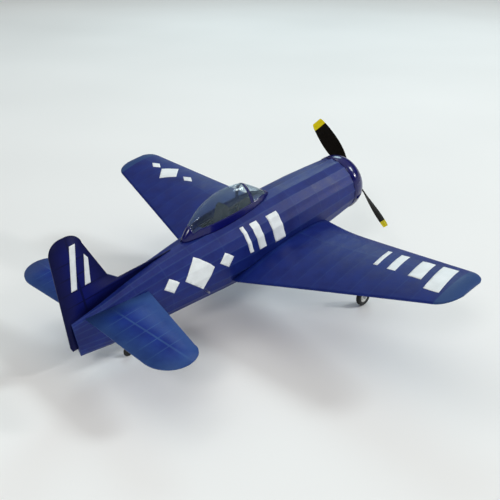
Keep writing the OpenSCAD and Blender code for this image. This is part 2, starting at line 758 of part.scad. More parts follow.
// An open frame: the outline, one spar and the cross pieces
module stab_frame_half() {
    thickness = tail_thickness - 2 * inner_fit;
    bay = (stab_half - stab_te_corner - stab_first_rib) / stab_bays;
    difference() {
        stab_slab(thickness, inner_fit, 0);
        difference() {
            translate([0, 0, -1]) stab_slab(thickness + 2, stab_edge_w, stab_edge_w);
            translate([0, stab_spar_y - stab_spar_w / 2, 0]) cube([stab_half, stab_spar_w, 2 * stab_z]);
            for (i = [1:stab_bays])
                translate([stab_first_rib + i * bay - sheet / 2, stab_rear - 50, 0])
                    cube([sheet, 200, 2 * stab_z]);
        }
    }
}
module stabilizer_frame() color("burlywood")
    for (side = [0, 1]) mirror([side, 0, 0]) stab_frame_half();

fin_foot = -446;
fin_foot_z = 50.5;
fin_front = -483.9;
fin_round = 18;
dorsal_front = -352;
dorsal_taper = 12;
rudder_foot = -21;
function rudder_y(z) = -543 + rudder_lean * z;
// Outline of the fin and rudder, drawn in Y and Z, set in from the edge and from the fuselage.
// A set-in root leaves out the part of the rudder below the deck.
function fin_outline(inset, root_inset = 0) =
    let (
        round_z = fin_top - fin_round,
        rear_end = tail_y - root_gap - root_inset,
        deck = root_gap + root_inset,
        base = top_z(tail_y) + deck,
        tip_y = dorsal_front - dorsal_taper * inset
    )
    concat(
        [[tip_y, top_z(tip_y) + max(deck, root_gap)]],
        [[fin_foot, fin_foot_z - inset], [fin_foot - 14.5, fin_foot_z + 13 - inset]],
        [for (a = steps(0, 80, 5))
            [fin_front - inset - fin_corner * (1 - cos(a)), round_z + (fin_round - inset) * sin(a)]],
        [for (a = steps(90, 0, 6)) [
            rudder_y(fin_top - fin_corner) + inset + fin_corner * (1 - cos(a)),
            fin_top - fin_corner + (fin_corner - inset) * sin(a)
        ]],
        root_inset > 0 ? [[rudder_y(base) + inset, base]] : [
            [rudder_y(rudder_foot + 6) + inset, rudder_foot + 6],
            [rudder_y(rudder_foot) + inset + 2, rudder_foot + inset],
            [rear_end, rudder_foot + inset],
            [rear_end, base]
        ],
        [for (i = [len(stations) - 2:-1:0])
            let (y = stations[i][0]) if (y < tip_y) [y, top_z(y) + deck]]
    );

module fin_slab(thickness, inset, root_inset)
    sheet_at_x(0, thickness) polygon(fin_outline(inset, root_inset));

module fin_covering() wing_blue()
    difference() {
        fin_slab(tail_thickness, 0, 0);
        fin_slab(tail_thickness - 2 * skin, skin, -5);
    }

rudder_post_y = -505;
fin_post_w = 3;
fin_ribs = [44, 64, 86, 108];
fin_edge_w = 4;
module fin_frame() color("burlywood")
    sheet_at_x(0, tail_thickness - 2 * inner_fit) difference() {
        polygon(fin_outline(inner_fit));
        difference() {
            polygon(fin_outline(fin_edge_w, fin_edge_w));
            translate([rudder_post_y - fin_post_w / 2, 0]) square([fin_post_w, fin_top]);
            for (z = fin_ribs) translate([tail_y - fin_top, z]) square([2 * fin_top, sheet]);
        }
    }

// ---- landing gear ----

wheel_x = track / 2;
leg_x = wheel_x - tyre_w / 2 - 3;
leg_top_y = -112;
leg_lift = 2;
leg_top_z = plane_z(leg_x) + leg_lift;
leg_run = 18;
module gear_leg() {
    wire([
        [leg_x + leg_run, leg_top_y, plane_z(leg_x + leg_run) + leg_lift],
        [leg_x, leg_top_y, leg_top_z],
        [leg_x, axle_y, axle_z],
        [wheel_x + tyre_w / 2 + 3, axle_y, axle_z]
    ], wire_r);
}
module gear_leg_right() color("silver") gear_leg();
module gear_leg_left() color("silver") port() gear_leg();

// The block under the wing's skin, grooved from above for the leg and slotted where the leg turns down
block_size = [22, 9, 5];
block_offset = 9.4;
module at_gear_block()
    translate([leg_x + block_offset, leg_top_y, plane_z(leg_x + block_offset) + leg_lift])
        rotate([0, -dihedral, 0]) children();
module gear_blocks() color("peru")
    for (side = [0, 1]) mirror([side, 0, 0]) at_gear_block() difference() {
        cube(block_size, center = true);
        translate([-block_size[0], -wire_r - gap, -wire_r - gap])
            cube([2 * block_size[0], 2 * (wire_r + gap), block_size[2]]);
        translate([-block_offset - 2 * wire_r - 2 * gap, -2 - wire_r, -block_size[2]])
            cube([4 * wire_r + 4 * gap, 7, 2 * block_size[2]]);
    }

collar_w = 1.6;
module wheel_collars() color("gray")
    for (side = [0, 1]) mirror([side, 0, 0])
        translate([wheel_x + tyre_w / 2 + 0.5, axle_y, axle_z]) along_x() difference() {
            cylinder(r = 2.2, h = collar_w);
            translate([0, 0, -1]) cylinder(r = wire_r + 0.02, h = collar_w + 2);
        }

hub_share = 0.56;
module tyre(r, w) rotate_extrude() intersection() {
    translate([r - w / 2, 0]) circle(r = w / 2);
    translate([r * hub_share, -w / 2]) square([r, w]);
}
module hub(r, w) difference() {
    union() {
        translate([0, 0, -w * 0.3]) cylinder(r = r * hub_share - 0.05, h = w * 0.6);
        translate([0, 0, -w / 2]) cylinder(r = 2.4, h = w);
    }
    translate([0, 0, -w]) cylinder(r = wire_r + running, h = 2 * w);
}
module main_wheel() translate([wheel_x, axle_y, axle_z]) along_x() children();
module main_tyre_right() color([0.05, 0.05, 0.05]) main_wheel() tyre(wheel_r, tyre_w);
module main_tyre_left() color([0.05, 0.05, 0.05]) port() main_wheel() tyre(wheel_r, tyre_w);
module main_hub_right() color("white") main_wheel() hub(wheel_r, tyre_w);
module main_hub_left() color("white") port() main_wheel() hub(wheel_r, tyre_w);

tail_wire_x = tail_wheel_w / 2 + 1.6;
module tail_gear_wire() color("silver")
    wire([
        [0, -434, bottom_z(-434) + 9],
        [0, -442, bottom_z(-442) - 2],
        [tail_wire_x, -452, -60],
        [tail_wire_x, tail_axle_y, tail_axle_z],
        [-tail_wheel_w / 2 - 1.5, tail_axle_y, tail_axle_z]
    ], wire_r);

module tail_wheel() color([0.05, 0.05, 0.05])
    translate([0, tail_axle_y, tail_axle_z]) along_x() difference() {
        rotate_extrude() union() {
            translate([tail_wheel_r - tail_wheel_w / 2, 0]) circle(r = tail_wheel_w / 2);
            translate([0, -tail_wheel_w * 0.35])
                square([tail_wheel_r - tail_wheel_w / 2, tail_wheel_w * 0.7]);
        }
        translate([0, 0, -tail_wheel_w]) cylinder(r = wire_r + running, h = 2 * tail_wheel_w);
    }

standing() nose_cowl();
standing() nose_block();
standing() nose_plug();
standing() nose_button();
standing() thrust_washers();
standing() prop_shaft();
standing() propeller();
standing() rubber_motor();
standing() motor_peg();
standing() peg_plates();
standing() fuselage_covering();
standing() keel_top();
standing() keel_bottom();
standing() keels_side();
standing() fuselage_stringers();
standing() tail_post();
standing() former(1);  // former_01
standing() former(2);  // former_02
standing() former(3);  // former_03
standing() former(4);  // former_04
standing() former(5);  // former_05
standing() former(6);  // former_06
standing() former(7);  // former_07
standing() former(8);  // former_08
standing() former(9);  // former_09
standing() former(10);  // former_10
standing() former(11);  // former_11
standing() cockpit_floor();
standing() instrument_panel();
standing() headrest();
standing() windscreen();
standing() canopy();
standing() canopy_frame();
standing() wing_covering_left();
standing() wing_covering_right();
standing() wing_ribs_left();
standing() wing_ribs_right();
standing() wing_spar_left();
standing() wing_spar_right();
standing() leading_edge_left();
standing() leading_edge_right();
standing() trailing_edge_left();
standing() trailing_edge_right();
standing() wing_tip_left();
standing() wing_tip_right();
standing() stabilizer_frame();
standing() stabilizer_covering();
standing() fin_frame();
standing() fin_covering();
standing() gear_leg_left();
standing() gear_leg_right();
standing() gear_blocks();
standing() wheel_collars();
standing() main_tyre_left();
standing() main_tyre_right();
standing() main_hub_left();
standing() main_hub_right();
standing() tail_gear_wire();
standing() tail_wheel();
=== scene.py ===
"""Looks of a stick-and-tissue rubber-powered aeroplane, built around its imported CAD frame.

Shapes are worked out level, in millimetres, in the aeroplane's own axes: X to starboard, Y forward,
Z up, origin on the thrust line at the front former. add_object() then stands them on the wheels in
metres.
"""

import json
import math

import bmesh
import bpy
from mathutils import Matrix, Vector


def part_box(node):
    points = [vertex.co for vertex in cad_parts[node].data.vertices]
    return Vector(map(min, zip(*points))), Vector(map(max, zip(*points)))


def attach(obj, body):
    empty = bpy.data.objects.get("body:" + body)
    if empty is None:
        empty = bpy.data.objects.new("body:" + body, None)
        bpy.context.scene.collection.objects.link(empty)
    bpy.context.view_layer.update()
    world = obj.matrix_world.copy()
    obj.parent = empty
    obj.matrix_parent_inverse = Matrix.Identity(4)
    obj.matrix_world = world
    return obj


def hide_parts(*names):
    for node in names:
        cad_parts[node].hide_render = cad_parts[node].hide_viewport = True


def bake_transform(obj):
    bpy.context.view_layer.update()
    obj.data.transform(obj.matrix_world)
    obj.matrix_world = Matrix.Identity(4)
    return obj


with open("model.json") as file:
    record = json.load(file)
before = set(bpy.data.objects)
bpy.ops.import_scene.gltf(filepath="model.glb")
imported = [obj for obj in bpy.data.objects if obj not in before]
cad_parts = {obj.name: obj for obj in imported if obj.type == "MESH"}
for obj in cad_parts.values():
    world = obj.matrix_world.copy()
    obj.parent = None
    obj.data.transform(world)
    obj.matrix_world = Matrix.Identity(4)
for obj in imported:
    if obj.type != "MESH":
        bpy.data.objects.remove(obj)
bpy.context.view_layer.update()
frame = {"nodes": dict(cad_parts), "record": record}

MM = 0.001

# ---- the frame's own places ----------------------------------------------------------------------

AXLE = (-86.4, -138.6)
TAIL_AXLE = (-461.8, -72.5)


def centre(node):
    low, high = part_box(node)
    return (low + high) / 2


def standing():
    """Level millimetres to standing metres, from where the CAD wheels are."""
    main, tail = centre("main_tyre_right"), centre("tail_wheel")
    rise = math.atan2(main.z - tail.z, main.y - tail.y)
    own_rise = math.atan2(AXLE[1] - TAIL_AXLE[1], AXLE[0] - TAIL_AXLE[0])
    turn = Matrix.Rotation(rise - own_rise, 4, "X") @ Matrix.Scale(MM, 4)
    shift = Vector((0, main.y, main.z)) - turn @ Vector((0, AXLE[0], AXLE[1]))
    return Matrix.Translation(shift) @ turn


STANDING = standing()
WHEEL_X = centre("main_tyre_right").x / MM

# Fuselage stations: position, half width, top, bottom
STATIONS = [
    (0, 47.5, 47.5, -47.5), (-40, 49, 50, -50.5), (-85, 50, 52.5, -54), (-135, 50.5, 54.5, -57),
    (-185, 49.8, 54.5, -58.8), (-235, 47.5, 53, -59), (-285, 43.5, 51, -55.8),
    (-335, 38, 48.5, -51.8), (-385, 31.8, 44.5, -48.2), (-435, 24, 37, -45.8),
    (-485, 15, 27, -43.3), (-533, 3.5, 20.5, -35.5),
]
FACETS = 20
COCKPIT, COCKPIT_Z = (-185, -285), 52
SQUARENESS, SQUARENESS_Y = 2.3, -85
SKIN = 0.3
# Half widths of formers and sticks, and the soft edge of the lines they show as
FORMER_HALF, STICK_HALF, LINE_EDGE = 0.8, 0.8, 0.35
# How far the tissue dips in the middle of a facet, and the facet width that allows it in full
FUSELAGE_SAG, FULL_SAG_WIDTH = 0.35, 16
FORMER_MARK = 0.6

WING_SPAN, WING_CHORD, WING_FRONT = 762, 209.4, -81.5
LE_SWEEP, TE_SWEEP, DIHEDRAL, WING_Z, INCIDENCE = 0.10, 0.24, math.radians(8.1), -34.9, 2
WING_THICKNESS, WING_CAMBER, RIB_COUNT = 0.10, 0.03, 11
HALF_SPAN = WING_SPAN / 2
TIP_START = HALF_SPAN - 24
GLOVE_END, GLOVE_SLOPE, GLOVE_SOFT = 120, 0.175, 24
LE_CORNER, TE_CORNER, EDGE_HALF = 18, 32, 0.9
ROOT_X, ROOT_GAP, RIB_INSET = 46, 0.3, 6
# The dip between two ribs, the runs over which it sets in behind and before the edges and beside the
# spar, and the share of it that the spar takes away
WING_SAG, LE_EASE, TE_EASE, SPAR_EASE, SPAR_HOLD = 0.5, 25, 15, 14, 0.6
TIP_FLAT, TIP_LIMIT, NOSE_SHARPNESS = 0.12, 0.985, 40
TIP_SHARES = (0.04, 0.12, 0.22, 0.33, 0.44, 0.55, 0.65, 0.74, 0.82, 0.89, 0.95, 1)
SPAR_T, SPAR_HALF = 0.33, 1.4
LE_STRIP, TE_STRIP, BOW_STRIP = 4, 8, 7

STAB_HALF, STAB_Z = 199, 19
TAIL_HALF = 1.5
TAIL_EDGE, TAIL_EDGE_HALFWAY = 0.32, 0.12
# PAINTED_RIM_LINE is the width of a thin line along a tail surface's very edge: a painted highlight in the
# stabiliser's colours, painted shade in the fin's
PAINTED_RIM_LINE, EDGE_SHARE, EDGE_STRIP = 0.7, 0.2, 4
TAIL_SAG, SLACK_START, SLACK_RUN = 0.3, 1, 8
FIN_TOP = 145.5


# ---- small helpers -------------------------------------------------------------------------------


def mix(a, b, t):
    return a + (b - a) * t


def steps(a, b, n):
    return [mix(a, b, i / n) for i in range(n + 1)]


def signed_pow(v, p):
    return math.copysign(abs(v) ** p, v)


def smooth(t):
    t = max(0.0, min(1.0, t))
    return t * t * (3 - 2 * t)


def between(table, x):
    """The two rows of a table around x, and the share of the way from the first to the second."""
    rows = table if table[0][0] < table[-1][0] else table[::-1]
    x = max(rows[0][0], min(rows[-1][0], x))
    i = max(k for k in range(len(rows) - 1) if rows[k][0] <= x)
    return rows, i, (x - rows[i][0]) / (rows[i + 1][0] - rows[i][0])


def straight(table, x, column):
    rows, i, t = between(table, x)
    return mix(rows[i][column], rows[i + 1][column], t)


def spline(table, x, column):
    """A smooth curve through a table's column, along its first column, which may rise or fall."""
    rows, i, t = between(table, x)
    last = len(rows) - 1
    h = rows[i + 1][0] - rows[i][0]

    def slope(k):
        a, b = max(0, k - 1), min(last, k + 1)
        return (rows[b][column] - rows[a][column]) / (rows[b][0] - rows[a][0])

    p, q = rows[i][column], rows[i + 1][column]
    return (
        p * (2 * t**3 - 3 * t**2 + 1) + slope(i) * h * (t**3 - 2 * t**2 + t)
        + q * (3 * t**2 - 2 * t**3) + slope(i + 1) * h * (t**3 - t**2)
    )


def line_mark(distance, half):
    """1 on a stick's width, 0 just beside it."""
    return max(0.0, min(1.0, (half + LINE_EDGE - abs(distance)) / LINE_EDGE))


def add_object(name, verts, faces, body, material, slot=None, stands_for=(), marks=None):
    """A piece from level millimetre points, standing in the frame and riding on a body."""
    mesh = bpy.data.meshes.new(name)
    mesh.from_pydata([STANDING @ Vector(v) for v in verts], [], faces)
    mesh.validate()
    obj = bpy.data.objects.new(name, mesh)
    bpy.context.scene.collection.objects.link(obj)
    for key, values in (marks or {}).items():
        layer = mesh.attributes.new(key, "FLOAT", "POINT")
        layer.data.foreach_set("value", values)
    turned_out(mesh)
    mesh.shade_smooth()
    mesh.materials.append(material)
    if stands_for:
        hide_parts(*stands_for)
    if body:
        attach(obj, body)
    return obj


def turned_out(mesh):
    bm = bmesh.new()
    bm.from_mesh(mesh)
    bmesh.ops.recalc_face_normals(bm, faces=bm.faces)
    bm.to_mesh(mesh)
    bm.free()


def thicken(obj, mm, offset=-1.0):
    wall = obj.modifiers.new("wall", "SOLIDIFY")
    wall.thickness = mm * MM
    wall.offset = offset
    wall.use_even_offset = True
    wall.use_rim = True
    return obj


def grid_faces(rows, columns, closed=False, keep=lambda i, j: True):
    span = columns if closed else columns - 1
    return [
        (i * columns + j, i * columns + (j + 1) % columns,
         (i + 1) * columns + (j + 1) % columns, (i + 1) * columns + j)
        for i in range(rows - 1) for j in range(span) if keep(i, j)
    ]


def lathe(profile, origin, axis, segments=96):
    """Points and faces of a closed profile of (radius, along) turned about an axis through origin."""
    verts = []
    for s in range(segments):
        a = 2 * math.pi * s / segments
        for r, w in profile:
            u, v = r * math.cos(a), r * math.sin(a)
            offset = (w, u, v) if axis == "X" else (u, w, v)
            verts.append(tuple(o + d for o, d in zip(origin, offset)))
    n = len(profile)
    faces = [
        (s * n + i, s * n + (i + 1) % n, (s + 1) % segments * n + (i + 1) % n, (s + 1) % segments * n + i)
        for s in range(segments) for i in range(n)
    ]
    return verts, faces


def joined(*parts):
    verts, faces = [], []
    for v, f in parts:
        faces += [tuple(i + len(verts) for i in face) for face in f]
        verts += v
    return verts, faces


def mirrored(verts):
    return [(-x, y, z) for x, y, z in verts]


# ---- materials -----------------------------------------------------------------------------------


class Nodes:
    """A material's node tree with short calls."""

    def __init__(self, name):
        self.material = bpy.data.materials.new(name)
        self.material.use_nodes = True
        self.tree = self.material.node_tree
        self.shader = self.tree.nodes["Principled BSDF"]
        self.output = self.tree.nodes["Material Output"]
        self.place = self.add("ShaderNodeTexCoord").outputs["Object"]

    def add(self, kind, **settings):
        node = self.tree.nodes.new(kind)
        for key, value in settings.items():
            setattr(node, key, value)
        return node

    def link(self, a, b):
        self.tree.links.new(a, b)

    def noise(self, scale, stretch=(1, 1, 1), detail=3, roughness=0.55):
        mapping = self.add("ShaderNodeMapping")
        mapping.inputs["Scale"].default_value = stretch
        self.link(self.place, mapping.inputs["Vector"])
        noise = self.add("ShaderNodeTexNoise")
        noise.inputs["Scale"].default_value = scale
        noise.inputs["Detail"].default_value = detail
        noise.inputs["Roughness"].default_value = roughness
        self.link(mapping.outputs["Vector"], noise.inputs["Vector"])
        return noise.outputs["Fac"]

    def scaled(self, value, low, high, start=0.3, end=0.7):
        """value from start..end turned into low..high."""
        node = self.add("ShaderNodeMapRange")
        for key, number in zip(("From Min", "From Max", "To Min", "To Max"), (start, end, low, high)):
            node.inputs[key].default_value = number
        self.link(value, node.inputs["Value"])
        return node.outputs["Result"]

    def mixed(self, factor, a, b):
        """Colours a and b, each a tuple or a socket, mixed by a socket or a number."""
        node = self.add("ShaderNodeMix", data_type="RGBA")
        for socket, value in ((node.inputs[0], factor), (node.inputs[6], a), (node.inputs[7], b)):
            if isinstance(value, bpy.types.NodeSocket):
                self.link(value, socket)
            elif isinstance(value, tuple):
                socket.default_value = (*value, 1)
            else:
                socket.default_value = value
        return node.outputs[2]

    def maths(self, operation, a, b):
        node = self.add("ShaderNodeMath", operation=operation)
        for socket, value in zip(node.inputs, (a, b)):
            if isinstance(value, bpy.types.NodeSocket):
                self.link(value, socket)
            else:
                socket.default_value = value
        return node.outputs[0]

    def sum(self, a, b):
        return self.maths("ADD", a, b)

    def times(self, a, b):
        return self.maths("MULTIPLY", a, b)

    def mark(self, name):
        return self.add("ShaderNodeAttribute", attribute_name=name).outputs["Fac"]

    def bump(self, height, strength, distance):
        node = self.add("ShaderNodeBump")
        node.inputs["Strength"].default_value = strength
        node.inputs["Distance"].default_value = distance
        self.link(height, node.inputs["Height"])
        self.link(node.outputs["Normal"], self.shader.inputs["Normal"])

    def colour(self, socket):
        self.link(socket, self.shader.inputs["Base Color"])

    def rough(self, socket):
        self.link(socket, self.shader.inputs["Roughness"])

    def fixed(self, **values):
        for key, value in values.items():
            self.shader.inputs[key.replace("_", " ")].default_value = value


def tissue(name, deep, pale, stick, stick_amount, tip=None, shine=0.2):
    """Dyed doped tissue over sticks: fibres, cloudy dye, and the wood showing as lines. Copies may carry
    painted light: a lighter tip colour and, on the fin, lines painted as shade.
    """
    n = Nodes(name)
    cloud = n.noise(38, detail=4)
    fibre = n.noise(700, stretch=(1, 0.3, 1), detail=2)
    dye = n.sum(n.times(cloud, 0.7), n.times(fibre, 0.3))
    body = n.mixed(n.scaled(dye, 0, 1), deep, pale)
    # A lighter, tealer colour on the points marked tip: painted light, the light showing through the tip's
    # tissue
    if tip:
        body = n.mixed(n.times(n.mark("tip"), 0.6), body, tip)
    # Lines in the stick colour where sticks lie under the tissue, the wood showing through; with the fin's
    # near-black stick colour they are painted shade
    lines = n.times(n.mark("stick"), n.scaled(cloud, 0.55, 1.0))
    n.colour(n.mixed(n.times(lines, stick_amount), body, stick))
    n.rough(n.scaled(n.sum(fibre, cloud), 0.40, 0.55, 0.7, 1.3))
    creases = n.times(n.noise(130, detail=3), 2.0)
    n.bump(n.sum(n.noise(900, detail=2), creases), 0.22, 0.0004)
    n.fixed(Specular_IOR_Level=shine)
    return n.material


def plain(name, dark, light, scale, stretch=(1, 1, 1), rough=(0.4, 0.6), bump=(0.15, 0.0003), **fixed):
    """Two close colours clouded by noise, with broken roughness and a fine grain."""
    n = Nodes(name)
    grain = n.noise(scale, stretch, detail=5)
    fine = n.noise(scale * 9, stretch, detail=2)
    blend = n.sum(n.times(grain, 0.75), n.times(fine, 0.25))
    n.colour(n.mixed(n.scaled(blend, 0, 1), dark, light))
    n.rough(n.scaled(fine, rough[0], rough[1]))
    n.bump(n.sum(grain, fine), *bump)
    n.fixed(**fixed)
    return n.material


def two_tone(name, dark, light, mark_colour, rough, scale=300, **fixed):
    """Moulded plastic whose marked points carry a second, painted colour."""
    n = Nodes(name)
    cloud = n.noise(scale, detail=3)
    fine = n.noise(scale * 8, detail=2)
    body = n.mixed(n.scaled(cloud, 0, 1), dark, light)
    paint = n.mixed(n.scaled(cloud, 0, 1), tuple(c * 0.85 for c in mark_colour), mark_colour)
    n.colour(n.mixed(n.mark("tip"), body, paint))
    n.rough(n.scaled(fine, *rough))
    n.bump(fine, 0.08, 0.0002)
    n.fixed(**fixed)
    return n.material


def clear_plastic(name, painted_reflection):
    """Thin moulded sheet: clear, with a soft mirror that grows towards its edges. The mirror share's pale
    grey-teal base colour is a painted reflection.
    """
    n = Nodes(name)
    haze = n.noise(120, detail=3)
    n.colour(n.mixed(n.scaled(haze, 0, 1), painted_reflection, tuple(min(1, c * 1.15) for c in painted_reflection)))
    n.rough(n.scaled(haze, 0.03, 0.08))
    n.bump(n.noise(12, detail=1), 0.01, 0.0005)
    n.fixed(Specular_IOR_Level=0.9, Coat_Weight=0.6, Coat_Roughness=0.03)
    facing = n.add("ShaderNodeLayerWeight")
    facing.inputs["Blend"].default_value = 0.28
    share = n.scaled(facing.outputs["Facing"], 0.05, 0.55, 0.0, 1.0)
    through = n.add("ShaderNodeBsdfTransparent")
    through.inputs["Color"].default_value = (0.93, 0.97, 1.0, 1)
    blend = n.add("ShaderNodeMixShader")
    n.link(share, blend.inputs["Fac"])
    n.link(through.outputs[0], blend.inputs[1])
    n.link(n.shader.outputs[0], blend.inputs[2])
    n.link(blend.outputs[0], n.output.inputs["Surface"])
    return n.material


BLUE_DEEP, BLUE_PALE = (0.003, 0.009, 0.110), (0.006, 0.021, 0.180)
BALSA_DARK, BALSA_LIGHT = (0.55, 0.38, 0.20), (0.80, 0.62, 0.38)
# The stain round the cockpit's middle fades between these distances, in metres
STAIN_FADE = (0.066, 0.070)


def body_wood():
    """Balsa, stained black where it shows in the cockpit opening."""
    n = Nodes("balsa_body_frame")
    grain = n.noise(55, (1, 0.12, 1), detail=5)
    wood = n.mixed(n.scaled(grain, 0, 1), BALSA_DARK, BALSA_LIGHT)
    middle = STANDING @ Vector((0, (COCKPIT[0] + COCKPIT[1]) / 2, COCKPIT_Z))
    away = n.add("ShaderNodeVectorMath", operation="DISTANCE")
    n.link(n.place, away.inputs[0])
    away.inputs[1].default_value = middle
    stained = n.scaled(away.outputs["Value"], 1, 0, *STAIN_FADE)
    n.colour(n.mixed(stained, wood, (0.010, 0.010, 0.012)))
    n.rough(n.scaled(grain, 0.55, 0.75))
    n.bump(grain, 0.15, 0.0003)
    return n.material


look = {
    "body_wood": body_wood(),
    "fuselage": tissue("fuselage_tissue", BLUE_DEEP, BLUE_PALE, (0.045, 0.10, 0.24), 0.24, shine=0.32),
    # The wing's tip colour is painted light: lighter and tealer where light shows through the tissue past
    # the last rib
    "wing": tissue("wing_tissue_painted_tip_light", BLUE_DEEP, BLUE_PALE, (0.04, 0.10, 0.24), 0.15, tip=(0.03, 0.08, 0.19)),
    # The stabiliser's tissue is the same blue made lighter and tealer: a painted sheen
    "stab": tissue("stabilizer_tissue_painted_sheen", (0.005, 0.016, 0.16), (0.009, 0.032, 0.24), (0.06, 0.14, 0.28), 0.5,
                   shine=0.12),
    # The fin's tissue is the same blue made darker, painted shade, and its near-black stick colour paints
    # the sticks as shade lines
    "fin": tissue("fin_tissue_painted_shade", (0.004, 0.006, 0.090), (0.006, 0.010, 0.130), (0.0015, 0.002, 0.018), 0.85,
                  shine=0.1),
    "white": plain("white_tissue", (0.70, 0.74, 0.75), (0.84, 0.88, 0.90), 60, rough=(0.42, 0.58)),
    "navy_gloss": plain("navy_gloss_paint", (0.0025, 0.003, 0.075), (0.003, 0.004, 0.10), 40,
                        rough=(0.16, 0.26), bump=(0.05, 0.0003), Coat_Weight=0.3, Coat_Roughness=0.08,
                        Specular_IOR_Level=0.25),
    # The clear sheet's pale grey-teal colour is a painted reflection
    "clear": clear_plastic("clear_sheet_painted_reflection", (0.20, 0.27, 0.32)),
    "balsa": plain("balsa_wood", BALSA_DARK, BALSA_LIGHT, 55, (1, 0.12, 1), (0.55, 0.75)),
    "plywood": plain("plywood", (0.36, 0.22, 0.10), (0.60, 0.42, 0.22), 70, (1, 1, 0.2), (0.45, 0.65)),
    "block": plain("painted_balsa_block", (0.010, 0.010, 0.012), (0.030, 0.030, 0.034), 70, (1, 0.3, 1),
                   (0.45, 0.7)),
    "cockpit": plain("cockpit_card", (0.006, 0.006, 0.008), (0.020, 0.019, 0.020), 90, rough=(0.45, 0.7)),
    "prop": two_tone("propeller_plastic", (0.004, 0.003, 0.002), (0.009, 0.007, 0.005),
                     (0.95, 0.78, 0.014), (0.45, 0.6), Specular_IOR_Level=0.05),
    "nylon": plain("nylon", (0.62, 0.58, 0.48), (0.76, 0.73, 0.64), 150, rough=(0.35, 0.5)),
    "brass": plain("brass", (0.62, 0.42, 0.13), (0.80, 0.58, 0.22), 200, rough=(0.22, 0.4), Metallic=1.0),
    "wire": plain("music_wire", (0.40, 0.41, 0.42), (0.60, 0.61, 0.62), 260, (1, 1, 6), (0.22, 0.42),
                  Metallic=1.0),
    "aluminium": plain("aluminium_tube", (0.62, 0.63, 0.65), (0.80, 0.81, 0.82), 220, (6, 1, 1),
                       (0.28, 0.45), Metallic=1.0),
    "rubber": plain("tan_rubber", (0.34, 0.22, 0.10), (0.50, 0.36, 0.19), 160, rough=(0.5, 0.7)),
    "tyre": plain("tyre_rubber", (0.005, 0.005, 0.005), (0.013, 0.012, 0.012), 240, rough=(0.5, 0.72),
                  bump=(0.3, 0.0003)),
    "hub": plain("hub_plastic", (0.55, 0.55, 0.53), (0.70, 0.70, 0.68), 150, rough=(0.35, 0.5)),
}
# The CAD material slots whose look goes by another name
SLOT_LOOK = {
    "tissue": "fuselage", "painted_block": "block", "cowl": "navy_gloss", "canopy_paint": "navy_gloss",
    "rubber_strip": "rubber",
}


# ---- fuselage covering ---------------------------------------------------------------------------


def station_corner(station, k, out):
    y, half_w, top, bottom = station
    power = 2 / mix(2, SQUARENESS, min(1, max(0, y / SQUARENESS_Y)))
    angle = math.radians(360 / FACETS * k)
    return (
        (half_w + out) * signed_pow(math.sin(angle), power), y,
        (top + bottom) / 2 + ((top - bottom) / 2 + out) * signed_pow(math.cos(angle), power),
    )


def corner(y, k, out=0.0):
    """A point on the covering's edge polygon at corner number k, which may lie between two corners."""
    rows, i, t = between(STATIONS, y)
    whole = math.floor(k)
    ends = []
    for station in (rows[i], rows[i + 1]):
        a, b = station_corner(station, whole, out), station_corner(station, whole + 1, out)
        ends.append([mix(p, q, k - whole) for p, q in zip(a, b)])
    return tuple(mix(p, q, t) for p, q in zip(*ends))


def facet_width(y, facet):
    return math.dist(corner(y, facet), corner(y, facet + 1))


def skin_point(y, k, out=0.0):
    """The tissue's surface: flat facets that dip a little between their sticks."""
    share = k - math.floor(k)
    freedom = smooth(facet_width(y, math.floor(k)) / FULL_SAG_WIDTH)
    return corner(y, k, out - FUSELAGE_SAG * freedom * math.sin(math.pi * share) ** 2)


def fuselage_rows():
    rows = []
    for a, b in zip(STATIONS, STATIONS[1:]):
        near, far = a[0] - FORMER_HALF, b[0] + FORMER_HALF
        rows += [a[0], near, *steps(near - LINE_EDGE, far + LINE_EDGE, 5), far]
    return rows + [STATIONS[-1][0]]


def facet_marks(width):
    """(share of a facet's width, mark) pairs: a stick along each corner and bare tissue between."""
    edge = min(0.16, STICK_HALF / width)
    beside = min(0.24, (STICK_HALF + LINE_EDGE) / width)
    return [(0, 1), (edge, 1), (beside, 0), (0.37, 0), (0.5, 0), (0.63, 0), (1 - beside, 0), (1 - edge, 1)]


def fuselage_skin():
    rows = fuselage_rows()
    verts, stick = [], []
    for y in rows:
        former = max(line_mark(y - s[0], FORMER_HALF) for s in STATIONS)
        for facet in range(FACETS):
            for share, mark in facet_marks(facet_width(y, facet)):
                verts.append(skin_point(y, facet + share))
                stick.append(max(mark, FORMER_MARK * former))
    columns = len(verts) // len(rows)
    per_facet = columns // FACETS

    def keep(i, j):
        inside = COCKPIT[1] <= (rows[i] + rows[i + 1]) / 2 <= COCKPIT[0]
        return not (inside and (j < per_facet or j >= columns - per_facet))

    faces = grid_faces(len(rows), columns, closed=True, keep=keep)
    faces.append(tuple((len(rows) - 1) * columns + j for j in range(columns)))
    skin = add_object("fuselage_skin", verts, faces, "airframe", look["fuselage"], "tissue",
                      ["fuselage_covering"], {"stick": stick})
    thicken(skin, SKIN)


# ---- wing covering -------------------------------------------------------------------------------


def tip_round(x):
    share = max(0, min(1, (x - TIP_START) / (HALF_SPAN - TIP_START)))
    return 1 - math.sqrt(1 - min(TIP_LIMIT, share) ** 2)


def le_y(x):
    inward = GLOVE_END - x
    glove = (inward + math.hypot(inward, GLOVE_SOFT)) / 2
    return WING_FRONT - LE_SWEEP * x + GLOVE_SLOPE * glove - LE_CORNER * tip_round(x)


def te_y(x):
    return WING_FRONT - WING_CHORD + TE_SWEEP * x + TE_CORNER * tip_round(x)


def chord(x):
    return le_y(x) - te_y(x)


def half_thick(t):
    return 5 * WING_THICKNESS * (
        0.2969 * math.sqrt(t) - 0.126 * t - 0.3516 * t**2 + 0.2843 * t**3 - 0.1015 * t**4)


